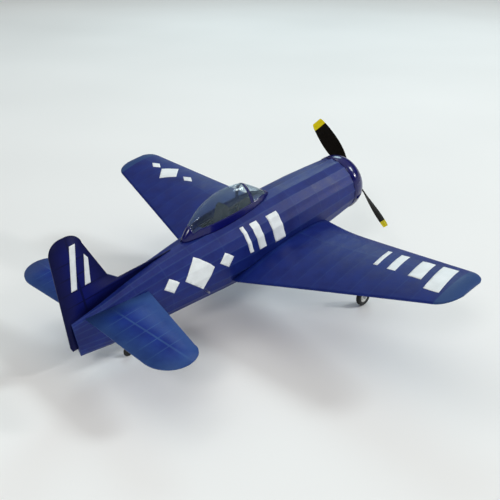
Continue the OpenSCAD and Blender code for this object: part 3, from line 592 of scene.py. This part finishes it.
WING_ROOT = straight(STATIONS, WING_FRONT, 1)
RIBS = steps(WING_ROOT + RIB_INSET, TIP_START, RIB_COUNT - 1)
RIB_BAY = RIBS[1] - RIBS[0]


def wing_sag(x, t):
    """How far the tissue dips between two ribs, less near its edge strips and beside the spar."""
    if not RIBS[0] < x < RIBS[-1]:
        return 0
    across = math.sin(math.pi * ((x - RIBS[0]) / RIB_BAY % 1)) ** 2
    c = chord(x)
    ends = smooth((t * c - LE_STRIP) / LE_EASE) * smooth(((1 - t) * c - TE_STRIP) / TE_EASE)
    spar = 1 - SPAR_HOLD * (1 - smooth(abs(t - SPAR_T) * c / SPAR_EASE))
    return WING_SAG * across * ends * spar


def wing_point(x, t, side, out=0.0):
    c = chord(x)
    flatten = mix(1, TIP_FLAT, tip_round(x))
    edge = EDGE_HALF * math.sqrt(min(1, t * NOSE_SHARPNESS))
    body = max(edge, c * half_thick(t) * flatten + EDGE_HALF * t) + out - wing_sag(x, t)
    camber = 4 * WING_CAMBER * c * flatten * t * (1 - t)
    twist = math.radians(INCIDENCE * (1 - x / HALF_SPAN))
    middle = WING_Z + x * math.tan(DIHEDRAL) + camber + (0.5 - t) * c * math.sin(twist)
    return x, mix(le_y(x), te_y(x), t), middle if t == 0 else middle + side * body


def side_x(y, z):
    """Half width of the fuselage at a height."""
    points = [corner(y, k) for k in range(FACETS // 2 + 1)]
    for a, b in zip(points, points[1:]):
        if b[2] <= z <= a[2]:
            return mix(a[0], b[0], (a[2] - z) / (a[2] - b[2]))
    return 0.0


def chord_nodes(x):
    """(share of the chord, mark) pairs from the leading to the trailing edge."""
    c = chord(x)
    in_tip = x > TIP_START
    le = (BOW_STRIP if in_tip else LE_STRIP) / c
    te = 1 - (BOW_STRIP if in_tip else TE_STRIP) / c
    edge, half = LINE_EDGE / c, SPAR_HALF / c
    spar = 0 if in_tip else 1
    front = [(le * s**2, EDGE_SHARE) for s in (0, 0.3, 0.5, 0.75, 1)]
    middle = [(t, 0) for t in steps(le + edge, SPAR_T - half - edge, 5)]
    beam = [(SPAR_T - half, spar), (SPAR_T + half, spar)]
    rear = [(t, 0) for t in steps(SPAR_T + half + edge, te - edge, 9)]
    return front + middle + beam + rear + [(t, EDGE_SHARE) for t in steps(te, 1, 2)]


def wing_places():
    places = [WING_ROOT]
    for a, b in zip(RIBS, RIBS[1:]):
        inner, outer = a + STICK_HALF, b - STICK_HALF
        places += [a - STICK_HALF, inner, *steps(inner + LINE_EDGE, outer - LINE_EDGE, 6)]
    places += [TIP_START - STICK_HALF, TIP_START]
    places += [mix(TIP_START, HALF_SPAN, share) for share in TIP_SHARES]
    return sorted(places)


def wing_skin(name, node, port):
    verts, stick, tip = [], [], []
    places = wing_places()
    for row, x in enumerate([ROOT_X, *places]):
        pairs = chord_nodes(x)
        ring = [(t, mark, 1) for t, mark in pairs[::-1]] + [(t, mark, -1) for t, mark in pairs[1:]]
        rib = max(line_mark(x - r, STICK_HALF) for r in RIBS)
        for t, mark, side in ring:
            p = wing_point(x, t, side)
            if row == 0:
                p = (side_x(p[1], p[2]) + ROOT_GAP, p[1], p[2])
            verts.append(p)
            stick.append(max(mark, rib))
            tip.append(1.0 if x > TIP_START + STICK_HALF / 2 else 0.0)
    rows = len(places) + 1
    columns = len(verts) // rows
    faces = grid_faces(rows, columns, closed=True)
    last = (rows - 1) * columns
    half = (columns - 1) // 2
    for i in range(half):
        a, b = last + i, last + i + 1
        c, d = last + columns - 1 - i - 1, last + columns - 1 - i
        faces.append((a, b, c, d) if b != c else (a, b, d))
    skin = add_object(name, mirrored(verts) if port else verts, faces, "airframe", look["wing"], "tissue",
                      [node], {"stick": stick, "tip": tip})
    thicken(skin, SKIN)


# ---- flat tail surfaces --------------------------------------------------------------------------


def distance_to(outline, p):
    best = math.inf
    for a, b in zip(outline, outline[1:] + outline[:1]):
        ab = (b[0] - a[0], b[1] - a[1])
        length = ab[0] ** 2 + ab[1] ** 2
        t = max(0, min(1, ((p[0] - a[0]) * ab[0] + (p[1] - a[1]) * ab[1]) / length)) if length else 0
        best = min(best, math.hypot(p[0] - a[0] - ab[0] * t, p[1] - a[1] - ab[1] * t))
    return best


def cut_sheet(outline, cuts, insets=()):
    """A flat outline as a mesh with loops set in from its edge, cut along (axis, place) lines."""
    bm = bmesh.new()
    face = bm.faces.new([bm.verts.new((u, v, 0)) for u, v in outline])
    for inset in insets:
        bmesh.ops.inset_region(bm, faces=[face], thickness=inset, use_even_offset=True)
    for axis, place in cuts:
        spot, normal = [0, 0, 0], [0, 0, 0]
        spot[axis], normal[axis] = place, 1
        everything = [*bm.verts, *bm.edges, *bm.faces]
        bmesh.ops.bisect_plane(bm, geom=everything, dist=1e-5, plane_co=spot, plane_no=normal)
    bmesh.ops.triangulate(bm, faces=[f for f in bm.faces if len(f.verts) > 4])
    bm.verts.ensure_lookup_table()
    points = [(v.co.x, v.co.y) for v in bm.verts]
    faces = [tuple(v.index for v in f.verts) for f in bm.faces]
    rim = [(e.verts[0].index, e.verts[1].index) for e in bm.edges if e.is_boundary]
    bm.free()
    return points, faces, rim


def line_cuts(axis, places, half):
    """Cuts on both sides of each stick, and two between one stick and the next."""
    cuts = [(axis, p + s) for p in places for s in (-half - LINE_EDGE, -half, half, half + LINE_EDGE)]
    for a, b in zip(places, places[1:]):
        cuts += [(axis, place) for place in steps(a, b, 3)[1:-1]]
    return cuts


def flat_surface(outline, sticks_u, sticks_v, halves, to_space):
    """Both faces of a thin covered frame and its rim, with softened edges, stick lines, a painted line along
    the rim and slack bays.
    """
    cuts = line_cuts(0, sticks_u, halves[0]) + line_cuts(1, sticks_v, halves[1])
    lines = [place + beside for place in (PAINTED_RIM_LINE, EDGE_STRIP) for beside in (0, LINE_EDGE)]
    rings = [0, TAIL_EDGE_HALFWAY, TAIL_EDGE, *lines]
    points, faces, rim = cut_sheet(outline, cuts, [b - a for a, b in zip(rings, rings[1:])])
    verts, stick = [], []
    for side in (1, -1):
        for u, v in points:
            d = distance_to(outline, (u, v))
            soft = TAIL_EDGE * (1 - math.sqrt(max(0, 1 - max(0, 1 - d / TAIL_EDGE) ** 2)))
            free = min([abs(u - p) for p in sticks_u] + [abs(v - p) for p in sticks_v] + [d - EDGE_STRIP])
            slack = TAIL_SAG * smooth((free - SLACK_START) / SLACK_RUN)
            verts.append(to_space(u, v, side * (TAIL_HALF - soft - slack)))
            marks = [line_mark(u - p, halves[0]) for p in sticks_u]
            marks += [line_mark(v - p, halves[1]) for p in sticks_v]
            # The rim mark paints a thin line along the very edge: painted highlight on the stabiliser,
            # painted shade on the fin
            marks += [EDGE_SHARE * line_mark(d, EDGE_STRIP), line_mark(d, PAINTED_RIM_LINE)]
            stick.append(max(marks))
    n = len(points)
    lower = [tuple(i + n for i in f[::-1]) for f in faces]
    edge = [(a, b, b + n, a + n) for a, b in rim]
    return verts, faces + lower + edge, stick


def arc(cx, cy, rx, ry, start, end, n):
    angles = [math.radians(a) for a in steps(start, end, n)]
    return [(cx + rx * math.cos(a), cy + ry * math.sin(a)) for a in angles]


STAB_FRONT, STAB_LE_SWEEP, STAB_REAR, STAB_TE_SWEEP = -411.6, 0.24, -512.5, 0.03
STAB_TIP_Y, STAB_LE_CORNER, STAB_TE_CORNER, STAB_SPAR_Y = -480, 23, 48, -476
STAB_SPAR_HALF, FIN_POST_HALF = 1.2, 1.5
STAB_INNER_X = 22
STAB_RIBS = steps(STAB_INNER_X, STAB_HALF - STAB_TE_CORNER, 5)[1:]


def stab_outline():
    def front(x):
        return STAB_FRONT - STAB_LE_SWEEP * x

    def rear(x):
        return STAB_REAR - STAB_TE_SWEEP * x

    def root(y):
        return side_x(y, STAB_Z - TAIL_HALF) + ROOT_GAP

    le_x, te_x = STAB_HALF - STAB_LE_CORNER, STAB_HALF - STAB_TE_CORNER
    inner_front, inner_rear = root(front(20)), root(rear(8))
    return [
        (inner_rear, rear(inner_rear)), (inner_front, front(inner_front)),
        *arc(le_x, STAB_TIP_Y, STAB_LE_CORNER, front(le_x) - STAB_TIP_Y, 90, 0, 16),
        *arc(te_x, STAB_TIP_Y, STAB_TE_CORNER, STAB_TIP_Y - rear(te_x), -5, -90, 18),
    ]


def stabilizer_skin():
    outline = stab_outline()
    halves = (STICK_HALF, STAB_SPAR_HALF)
    verts, faces, stick = flat_surface(outline, STAB_RIBS, [STAB_SPAR_Y], halves,
                                       lambda u, v, w: (u, v, STAB_Z + w))
    both = joined((verts, faces), (mirrored(verts), faces))
    add_object("stabilizer_skin", *both, "airframe", look["stab"], "tissue", ["stabilizer_covering"],
               {"stick": stick * 2})


FIN_CORNER, FIN_ROUND, FIN_FRONT = 22, 18, -483.9
FIN_POST_Y, FIN_RIBS = -505, [44.8, 64.8, 86.8, 108.8]
RUDDER_Y, RUDDER_SLOPE, RUDDER_FOOT = -543, 0.069, -21


def rudder_y(z):
    return RUDDER_Y + RUDDER_SLOPE * z


def top_z(y):
    return straight(STATIONS, y, 2)


def fin_outline():
    tip_y, foot_y, foot_z = -352, -446, 50.5
    rear_end = STATIONS[-1][0] - ROOT_GAP
    rear_x = rudder_y(FIN_TOP - FIN_CORNER)
    return [
        (tip_y, top_z(tip_y) + ROOT_GAP), (foot_y, foot_z), (foot_y - 14.5, foot_z + 13),
        *arc(FIN_FRONT - FIN_CORNER, FIN_TOP - FIN_ROUND, FIN_CORNER, FIN_ROUND, 0, 80, 12),
        *arc(rear_x + FIN_CORNER, FIN_TOP - FIN_CORNER, FIN_CORNER, FIN_CORNER, 90, 180, 12),
        (rudder_y(RUDDER_FOOT + 6), RUDDER_FOOT + 6), (rudder_y(RUDDER_FOOT) + 2, RUDDER_FOOT),
        (rear_end, RUDDER_FOOT), (rear_end, top_z(rear_end) + ROOT_GAP),
        *[(y, top_z(y) + ROOT_GAP) for y in (-485, -435, -385)],
    ]


def fin_skin():
    halves = (FIN_POST_HALF, STICK_HALF)
    verts, faces, stick = flat_surface(fin_outline(), [FIN_POST_Y], FIN_RIBS, halves,
                                       lambda u, v, w: (w, u, v))
    add_object("fin_skin", verts, faces, "airframe", look["fin"], "tissue", ["fin_covering"],
               {"stick": stick})


# ---- canopy --------------------------------------------------------------------------------------

# Canopy stations: position, share of the half width, share of the crown's height over the deck
CANOPY = [
    (-155, 0.25, 0.03), (-164, 0.48, 0.20), (-174, 0.70, 0.40), (-186, 0.86, 0.62), (-198, 0.94, 0.82),
    (-203, 0.96, 0.88), (-221, 1, 0.96), (-240, 1, 1), (-260, 0.96, 0.97), (-277, 0.89, 0.88),
    (-291, 0.78, 0.75), (-304, 0.63, 0.56), (-313, 0.50, 0.42), (-323, 0.34, 0.24), (-331, 0.14, 0.07),
]
CANOPY_HALF_W, CANOPY_TOP, SKIRT_Z, CANOPY_WALL = 20.5, 96.5, 61.5, 0.6
POINTEDNESS, FOOT_GAP = 1.15, 0.1
SKIRT_SHARE, MOST_SKIRT = 0.6, 0.45
ARCH = (-198, -203.5)
GLASS = (-164, -313)


def deck_z(y, x):
    points = [corner(y, k) for k in range(FACETS // 4 + 1)]
    for a, b in zip(points, points[1:]):
        if a[0] <= x <= b[0]:
            return mix(a[2], b[2], (x - a[0]) / (b[0] - a[0]))
    return points[0][2]


def canopy_point(y, down, side, out=0.0):
    """down runs from 0 at the crown over SKIRT_SHARE at the skirt's upper edge to 1 at the foot."""
    w = CANOPY_HALF_W * spline(CANOPY, y, 1) + out
    foot = deck_z(y, w) + FOOT_GAP
    rise = (CANOPY_TOP - top_z(y)) * spline(CANOPY, y, 2) + top_z(y) - foot + out
    turn = math.asin(max(0, min(MOST_SKIRT, (SKIRT_Z - foot) / rise)))
    if down > SKIRT_SHARE:
        a = mix(turn, 0, (down - SKIRT_SHARE) / (1 - SKIRT_SHARE))
    else:
        a = mix(math.pi / 2, turn, down / SKIRT_SHARE)
    return side * w * math.cos(a) ** POINTEDNESS, y, foot + rise * math.sin(a)


def canopy_shell(name, nodes, material, slot, ys, in_part, wall, out=0.0):
    downs = [*steps(1, SKIRT_SHARE, 6), *steps(SKIRT_SHARE, 0, 14)[1:]]
    columns = [(d, -1) for d in downs] + [(d, 1) for d in downs[::-1][1:]]
    verts = [canopy_point(y, d, side, out) for y in ys for d, side in columns]

    def keep(i, j):
        down = (columns[j][0] + columns[j + 1][0]) / 2
        return in_part((ys[i] + ys[i + 1]) / 2, down)

    faces = grid_faces(len(ys), len(columns), keep=keep)
    shell = add_object(name, verts, faces, "airframe", material, slot, nodes)
    bm = bmesh.new()
    bm.from_mesh(shell.data)
    bmesh.ops.delete(bm, geom=[v for v in bm.verts if not v.link_faces], context="VERTS")
    bm.to_mesh(shell.data)
    bm.free()
    shell.data.shade_smooth()
    return thicken(shell, wall)


def canopy_pieces():
    front, rear = steps(CANOPY[0][0], GLASS[0], 3), steps(GLASS[1], CANOPY[-1][0], 5)
    screen = steps(GLASS[0], ARCH[0], 12)
    bubble = steps(ARCH[1], GLASS[1], 36)
    arch = steps(ARCH[0], ARCH[1], 2)

    def glass(y, down):
        return GLASS[1] < y < GLASS[0] and down < SKIRT_SHARE

    def in_arch(y):
        return ARCH[1] < y < ARCH[0]

    canopy_shell("windscreen_glass", ["windscreen"], look["clear"], "clear", screen, glass, CANOPY_WALL)
    canopy_shell("bubble_glass", ["canopy"], look["clear"], "clear", bubble, glass, CANOPY_WALL)
    whole = [*front, *screen[1:], *arch[1:], *bubble[1:], *rear[1:]]
    canopy_shell("canopy_skirt", ["canopy_frame"], look["navy_gloss"], "canopy_paint", whole,
                 lambda y, down: in_arch(y) or not glass(y, down), CANOPY_WALL + 0.15, 0.12)


# ---- cowl, propeller and wheels ------------------------------------------------------------------

NOSE_R, COWL_DEPTH, COWL_MOUTH_R, COWL_WALL = 47.5, 33, 27, 0.8
BULGE, BULGE_Y, LIP_START = 1, 6, 20


def cowl_r(y):
    if y < BULGE_Y:
        return mix(NOSE_R, NOSE_R + BULGE, smooth(y / BULGE_Y))
    return COWL_MOUTH_R + (NOSE_R + BULGE - COWL_MOUTH_R) * math.sqrt(
        max(0, 1 - ((y - BULGE_Y) / (COWL_DEPTH - BULGE_Y)) ** 2))


def cowl():
    outer = [(cowl_r(y), y) for y in steps(0.15, BULGE_Y, 5)]
    front_r = COWL_MOUTH_R + 1.2
    outer += arc(front_r, BULGE_Y, NOSE_R + BULGE - front_r, COWL_DEPTH - BULGE_Y, 0, 90, 26)[1:]
    lip = [(COWL_MOUTH_R + 0.3, COWL_DEPTH - 0.3), (COWL_MOUTH_R, COWL_DEPTH - 1.1)]
    inner = [
        (max(COWL_MOUTH_R + 0.1, r - COWL_WALL),
         y - COWL_WALL * smooth((y - LIP_START) / (COWL_DEPTH - LIP_START)))
        for r, y in outer[::-1][1:]
    ]
    verts, faces = lathe(outer + lip + inner, (0, 0, 0), "Y", 128)
    add_object("cowl_shell", verts, faces, "airframe", look["navy_gloss"], "cowl", ["nose_cowl"])


PROP_R, PROP_PITCH, PROP_TURN = 111.5, 215, math.radians(-40.6)
PROP_Y, HUB_REAR, HUB_LENGTH, HUB_R, SHAFT_R = 44, 38.5, 11, 6, 0.85
BLADE_CHORD = [
    (0.03, 6), (0.12, 9), (0.25, 18), (0.42, 27), (0.6, 31), (0.78, 30), (0.92, 26), (0.97, 23.5), (1, 19),
]
BLADE_ROOT, TIP_PAINT, TIP_ROUND = 0.03, 0.895, 0.985
ROOT_THICK, END_THICK, BLADE_CAMBER = 4.5, 1, 0.05


def blade():
    """A twisted, cambered blade with a rounded paddle end, pointing up."""
    along = steps(BLADE_ROOT, 0.96, 34)
    shares = sorted([*along, TIP_PAINT, TIP_PAINT + 0.002, 0.975, TIP_ROUND, 0.993, 1.0])
    around = [math.radians(a) for a in range(0, 360, 12)]
    verts, tip = [], []
    for t in shares:
        c = spline(BLADE_CHORD, t, 1)
        h = mix(ROOT_THICK, END_THICK, math.sqrt(min(1, t * 1.1)))
        h *= math.sqrt(max(0.04, 1 - max(0, (t - TIP_ROUND) / (1 - TIP_ROUND)) ** 2))
        beta = math.atan(PROP_PITCH / (2 * math.pi * PROP_R * max(t, 0.2)))
        for a in around:
            u = c / 2 * math.cos(a)
            w = h / 2 * math.sin(a) + BLADE_CAMBER * c * (1 - math.cos(a) ** 2)
            x = u * math.cos(beta) - w * math.sin(beta)
            y = PROP_Y + u * math.sin(beta) + w * math.cos(beta)
            verts.append((x, y, t * PROP_R))
            tip.append(1.0 if t > TIP_PAINT else 0.0)
    n = len(around)
    faces = grid_faces(len(shares), n, closed=True)
    faces += [tuple(range(n)), tuple((len(shares) - 1) * n + i for i in reversed(range(n)))]
    return verts, faces, tip


def propeller():
    verts, faces, tip = blade()
    other = [(-x, y, -z) for x, y, z in verts]
    front, rear = HUB_REAR + HUB_LENGTH, HUB_REAR
    hub = lathe([
        (SHAFT_R, rear), (HUB_R - 0.5, rear), (HUB_R, rear + 0.5), (HUB_R, rear + 4),
        (HUB_R - 0.4, rear + 5), (HUB_R - 0.4, front - 3.5), (HUB_R - 0.9, front - 1.2),
        (HUB_R - 2.2, front - 0.4), (HUB_R - 3, front), (SHAFT_R, front),
    ], (0, 0, 0), "Y", 48)
    points, all_faces = joined((verts, faces), (other, faces), hub)
    turn = Matrix.Rotation(PROP_TURN, 3, "Y")
    points = [tuple(turn @ Vector(p)) for p in points]
    painted = tip + tip + [0.0] * len(hub[0])
    prop = add_object("propeller_moulding", points, all_faces, "prop", look["prop"], "prop", ["propeller"],
                      {"tip": painted})
    prop.data.set_sharp_from_angle(angle=math.radians(50))


WHEEL_R, TYRE_W, TAIL_WHEEL_R, TAIL_WHEEL_W, HUB_SHARE = 15, 8.6, 8, 5, 0.56
TREAD_GROOVES, GROOVE_DEPTH = ((6, 12), (24, 29)), 0.28


def tyre_profile(r, w):
    """A fat round tyre with grooves round its tread, placed by angle, and a bead at the rim."""
    half = w / 2
    points = []
    for a in steps(-128, 128, 64):
        grooved = any(start < abs(a) < end for start, end in TREAD_GROOVES)
        round_r = half - (GROOVE_DEPTH if grooved else 0)
        turn = math.radians(a)
        points.append((r - half + round_r * math.cos(turn), round_r * math.sin(turn)))
    bead = r * HUB_SHARE
    points = [p for p in points if p[0] > bead + 0.6]
    foot = [(bead, -half * 0.62), (bead + 0.5, -half * 0.72)]
    return foot + points + [(b, -w) for b, w in foot[::-1]]


def hub_profile(r, w):
    rim, half = r * HUB_SHARE - 0.05, w * 0.3
    face = [
        (SHAFT_R, w / 2), (2.0, w / 2), (2.4, w / 2 - 0.5), (2.6, half * 0.5), (4.2, half * 0.35),
        (rim - 2, half * 0.5), (rim - 1.1, half), (rim, half),
    ]
    return [(a, -b) for a, b in face] + face[::-1]


def wheel_piece(name, shape, body, part, node):
    piece = add_object(name, *shape, body, look[part], part, [node])
    piece.data.set_sharp_from_angle(angle=math.radians(35))


def wheels():
    for side, sign in (("right", 1), ("left", -1)):
        origin = (sign * WHEEL_X, *AXLE)
        for part, profile in (("tyre", tyre_profile), ("hub", hub_profile)):
            shape = lathe(profile(WHEEL_R, TYRE_W), origin, "X")
            wheel_piece(f"{part}_{side}", shape, f"wheel_{side}", part, f"main_{part}_{side}")


def tail_wheel():
    half = TAIL_WHEEL_W / 2
    round_r = TAIL_WHEEL_R - half
    flank = [(SHAFT_R, -half * 0.7), (round_r - 1.4, -half * 0.7), (round_r - 0.9, -half * 0.55)]
    profile = flank + arc(round_r, 0, half, half, -110, 110, 36) + [(r, -w) for r, w in flank[::-1]]
    shape = lathe(profile, (0, *TAIL_AXLE), "X", 64)
    wheel_piece("tail_wheel_tyre", shape, "tail_wheel", "tyre", "tail_wheel")


# ---- rubber motor --------------------------------------------------------------------------------

PEG_Y, PEG_Z, STRAND_R, STRANDS, TURNS, SPREAD = -328, -26.5, 0.75, 6, 1.5, 2.6
# The strands end just behind the hook's ring, so that it can turn
STRANDS_FRONT = -17.15


def tube(points, r, sides=8):
    """Points and faces of a capped round tube along a path near the middle plane."""
    verts = []
    for i, p in enumerate(points):
        ahead = Vector(points[min(i + 1, len(points) - 1)]) - Vector(points[max(i - 1, 0)])
        ahead.normalize()
        side = ahead.cross(Vector((1, 0, 0)))
        side.normalize()
        up = side.cross(ahead)
        for s in range(sides):
            a = 2 * math.pi * s / sides
            verts.append(tuple(Vector(p) + r * (math.cos(a) * side + math.sin(a) * up)))
    n = len(points)
    faces = grid_faces(n, sides, closed=True)
    return verts, faces + [tuple(range(sides)), tuple((n - 1) * sides + i for i in range(sides))]


def rubber_motor():
    """Slack-wound strands from the peg to just behind the hook."""
    peg, front = Vector((0, PEG_Y, PEG_Z)), Vector((0, STRANDS_FRONT, 0))
    run = front - peg
    across = Vector((0.6, 0, 0))
    up = run.normalized().cross(Vector((-1, 0, 0)))
    strands = []
    for s in range(STRANDS):
        path = []
        for t in steps(0, 1, 60):
            spread = SPREAD * (1 - 0.25 * math.sin(math.pi * t))
            turn = 2 * math.pi * (s / STRANDS + TURNS * t)
            path.append(peg + run * t + spread * (math.sin(turn) * across + math.cos(turn) * up))
        strands.append(tube(path, STRAND_R))
    motor = add_object("motor_strands", *joined(*strands), None, look["rubber"], "rubber_strip",
                       ["rubber_motor"])
    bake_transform(motor)


# ---- markings ------------------------------------------------------------------------------------


MARKING_WALL = 0.06


def stripe(u, width, far, near, lean):
    """A leaning stripe across u, from v = far to v = near."""
    half = width / 2
    return [(u - half + lean, far), (u + half + lean, far), (u + half - lean, near), (u - half - lean, near)]


def diamond(u, v, half_u, half_v):
    return [(u - half_u, v), (u, v + half_v), (u + half_u, v), (u, v - half_v)]


def marking(name, shapes, to_space, cuts, port=False):
    """Thin white tissue patches: convex outlines cut finely and laid on a surface."""
    parts = []
    for shape in shapes:
        points, faces, _ = cut_sheet(shape, cuts(shape))
        parts.append(([to_space(u, v) for u, v in points], faces))
    verts, faces = joined(*parts)
    patch = add_object(name, mirrored(verts) if port else verts, faces, "airframe", look["white"])
    thicken(patch, MARKING_WALL, offset=1.0)


def span_cuts(axis, shape, step):
    values = [p[axis] for p in shape]
    first, last = math.ceil(min(values) / step), math.floor(max(values) / step)
    return [(axis, i * step) for i in range(first, last + 1)]


def k_at(y, z):
    """The facet number on the starboard side at a height."""
    for k in range(FACETS // 2):
        a, b = corner(y, k)[2], corner(y, k + 1)[2]
        if b <= z <= a:
            return k + (a - z) / (a - b)
    return FACETS / 4


def fuselage_markings():
    shapes = [diamond(-334, 8, 26, 27), diamond(-382, 11, 13, 12), diamond(-285, 9, 13, 12)]
    shapes += [stripe(-240, 7, 41, 0, -1), stripe(-218, 14, 40, -2, -1), stripe(-182, 22, 39, -5, -1)]
    shapes = [[(y, k_at(y, z)) for y, z in shape] for shape in shapes]

    def cuts(shape):
        shares = (0, 0.06, 0.2, 0.37, 0.5, 0.63, 0.8, 0.94)
        fractions = [(1, k + share) for k in range(FACETS // 2 + 1) for share in shares]
        low, high = min(p[1] for p in shape), max(p[1] for p in shape)
        return span_cuts(0, shape, 5) + [c for c in fractions if low < c[1] < high]

    for name, port in (("fuselage_markings_right", False), ("fuselage_markings_left", True)):
        marking(name, shapes, lambda y, k: skin_point(y, k, 0.1), cuts, port)


def on_wing(x, y):
    t = (le_y(x) - y) / chord(x)
    return wing_point(x, t, 1, 0.12)


def wing_markings():
    def cuts(shape):
        places = steps(RIBS[0], RIBS[-1], 12 * (RIB_COUNT - 1))
        low, high = min(p[0] for p in shape), max(p[0] for p in shape)
        return [(0, x) for x in places if low < x < high] + span_cuts(1, shape, 4)

    stripes = [
        stripe(228, 8, -126, -168, -3), stripe(257, 15, -127, -169, -3),
        stripe(299, 22, -129, -171, -3), stripe(336, 25, -129, -186, -4),
    ]
    diamonds = [diamond(279, -151, 22, 23), diamond(320, -149, 13, 8), diamond(235, -142, 13, 8)]
    marking("wing_markings_right", stripes, on_wing, cuts)
    marking("wing_markings_left", diamonds, on_wing, cuts, port=True)


def fin_markings():
    shapes = [
        [(-519, 66), (-503, 131), (-494, 131), (-510, 66)],
        [(-497, 66), (-486, 111), (-481.5, 103), (-488, 66)],
    ]

    def cuts(shape):
        return span_cuts(0, shape, 4) + span_cuts(1, shape, 4)

    for name, port in (("fin_markings_right", False), ("fin_markings_left", True)):
        marking(name, shapes, lambda y, z: (TAIL_HALF + MARKING_WALL, y, z), cuts, port)


# ---- CAD nodes, stage, light and camera ----------------------------------------------------------


def dress_cad_nodes():
    slot_of = {part["node"]: part["material_slot"] for part in frame["record"]["subparts"]}
    for name, obj in frame["nodes"].items():
        slot = slot_of[name]
        by_cockpit = slot == "balsa" and name.startswith(("former", "keel", "fuselage", "headrest"))
        obj.data.materials.clear()
        obj.data.materials.append(look["body_wood" if by_cockpit else SLOT_LOOK.get(slot, slot)])


# How bright the room is at each height: a pale wall, a dim band over it and a lit ceiling
ROOM_LIGHT = [(0.0, 0.80), (0.13, 0.78), (0.24, 0.05), (0.45, 0.05), (0.95, 0.75)]
FLOOR_R = 40
LIT_POINT = Vector((0, 0, 0.12))
CAMERA_PLACE, CAMERA_VIEW = (0.8548, -0.7218, 0.6076), (-0.6801, 0.6117, -0.4042)
CAMERA_LENS, CAMERA_SENSOR = 55.85, 36


def floor_disc():
    bpy.ops.mesh.primitive_circle_add(vertices=96, radius=FLOOR_R, fill_type="NGON")
    floor = bpy.context.object
    floor.name = "floor"
    n = Nodes("pale_floor")
    cloud = n.noise(0.8, detail=2)
    n.colour(n.mixed(n.scaled(cloud, 0, 1), (0.80, 0.80, 0.79), (0.86, 0.86, 0.85)))
    n.rough(n.scaled(cloud, 0.65, 0.8))
    floor.data.materials.append(n.material)


def room():
    world = bpy.data.worlds.new("studio")
    world.use_nodes = True
    tree = world.node_tree
    place = tree.nodes.new("ShaderNodeTexCoord")
    height = tree.nodes.new("ShaderNodeSeparateXYZ")
    ramp = tree.nodes.new("ShaderNodeValToRGB")
    while len(ramp.color_ramp.elements) < len(ROOM_LIGHT):
        ramp.color_ramp.elements.new(1.0)
    for element, (z, light) in zip(ramp.color_ramp.elements, ROOM_LIGHT):
        element.position = z
        element.color = (light, 0.995 * light, 0.975 * light, 1)
    tree.links.new(place.outputs["Generated"], height.inputs[0])
    tree.links.new(height.outputs["Z"], ramp.inputs["Fac"])
    tree.links.new(ramp.outputs["Color"], tree.nodes["Background"].inputs["Color"])
    bpy.context.scene.world = world


def area_light(name, direction, distance, size, power, colour=(1, 1, 1)):
    data = bpy.data.lights.new(name, "AREA")
    data.shape, data.energy, data.color = "ELLIPSE", power, colour
    data.size, data.size_y = size
    light = bpy.data.objects.new(name, data)
    bpy.context.scene.collection.objects.link(light)
    way = Vector(direction).normalized()
    light.location = LIT_POINT + way * distance
    light.rotation_mode = "QUATERNION"
    light.rotation_quaternion = way.to_track_quat("Z", "Y")


def lights():
    area_light("key", (0.40, 0.61, 0.68), 5.5, (1.3, 1.3), 95, (0.90, 0.98, 1.0))
    area_light("side_key", (0.62, 0.66, 0.39), 5.5, (0.45, 0.45), 70, (1.0, 0.985, 0.97))
    area_light("overhead", (-0.35, -0.1, 1.0), 5.0, (5.5, 0.9), 22)
    area_light("far_sheen", (-0.56, 0.61, 0.56), 5.0, (1.8, 1.8), 42, (0.66, 0.92, 1.0))
    area_light("front_key", (0.45, -0.72, 0.60), 5.5, (1.2, 1.2), 75, (1.0, 0.985, 0.965))


def camera():
    data = bpy.data.cameras.new("camera")
    data.lens, data.sensor_width = CAMERA_LENS, CAMERA_SENSOR
    data.clip_start, data.clip_end = 0.05, 60
    cam = bpy.data.objects.new("camera", data)
    bpy.context.scene.collection.objects.link(cam)
    cam.location = CAMERA_PLACE
    cam.rotation_mode = "QUATERNION"
    cam.rotation_quaternion = Vector(CAMERA_VIEW).to_track_quat("-Z", "Y")
    bpy.context.scene.camera = cam
    bpy.context.scene.view_settings.view_transform = "Standard"


dress_cad_nodes()
fuselage_skin()
wing_skin("wing_skin_right", "wing_covering_right", port=False)
wing_skin("wing_skin_left", "wing_covering_left", port=True)
stabilizer_skin()
fin_skin()
canopy_pieces()
cowl()
propeller()
wheels()
tail_wheel()
rubber_motor()
fuselage_markings()
wing_markings()
fin_markings()
floor_disc()
room()
lights()
camera()
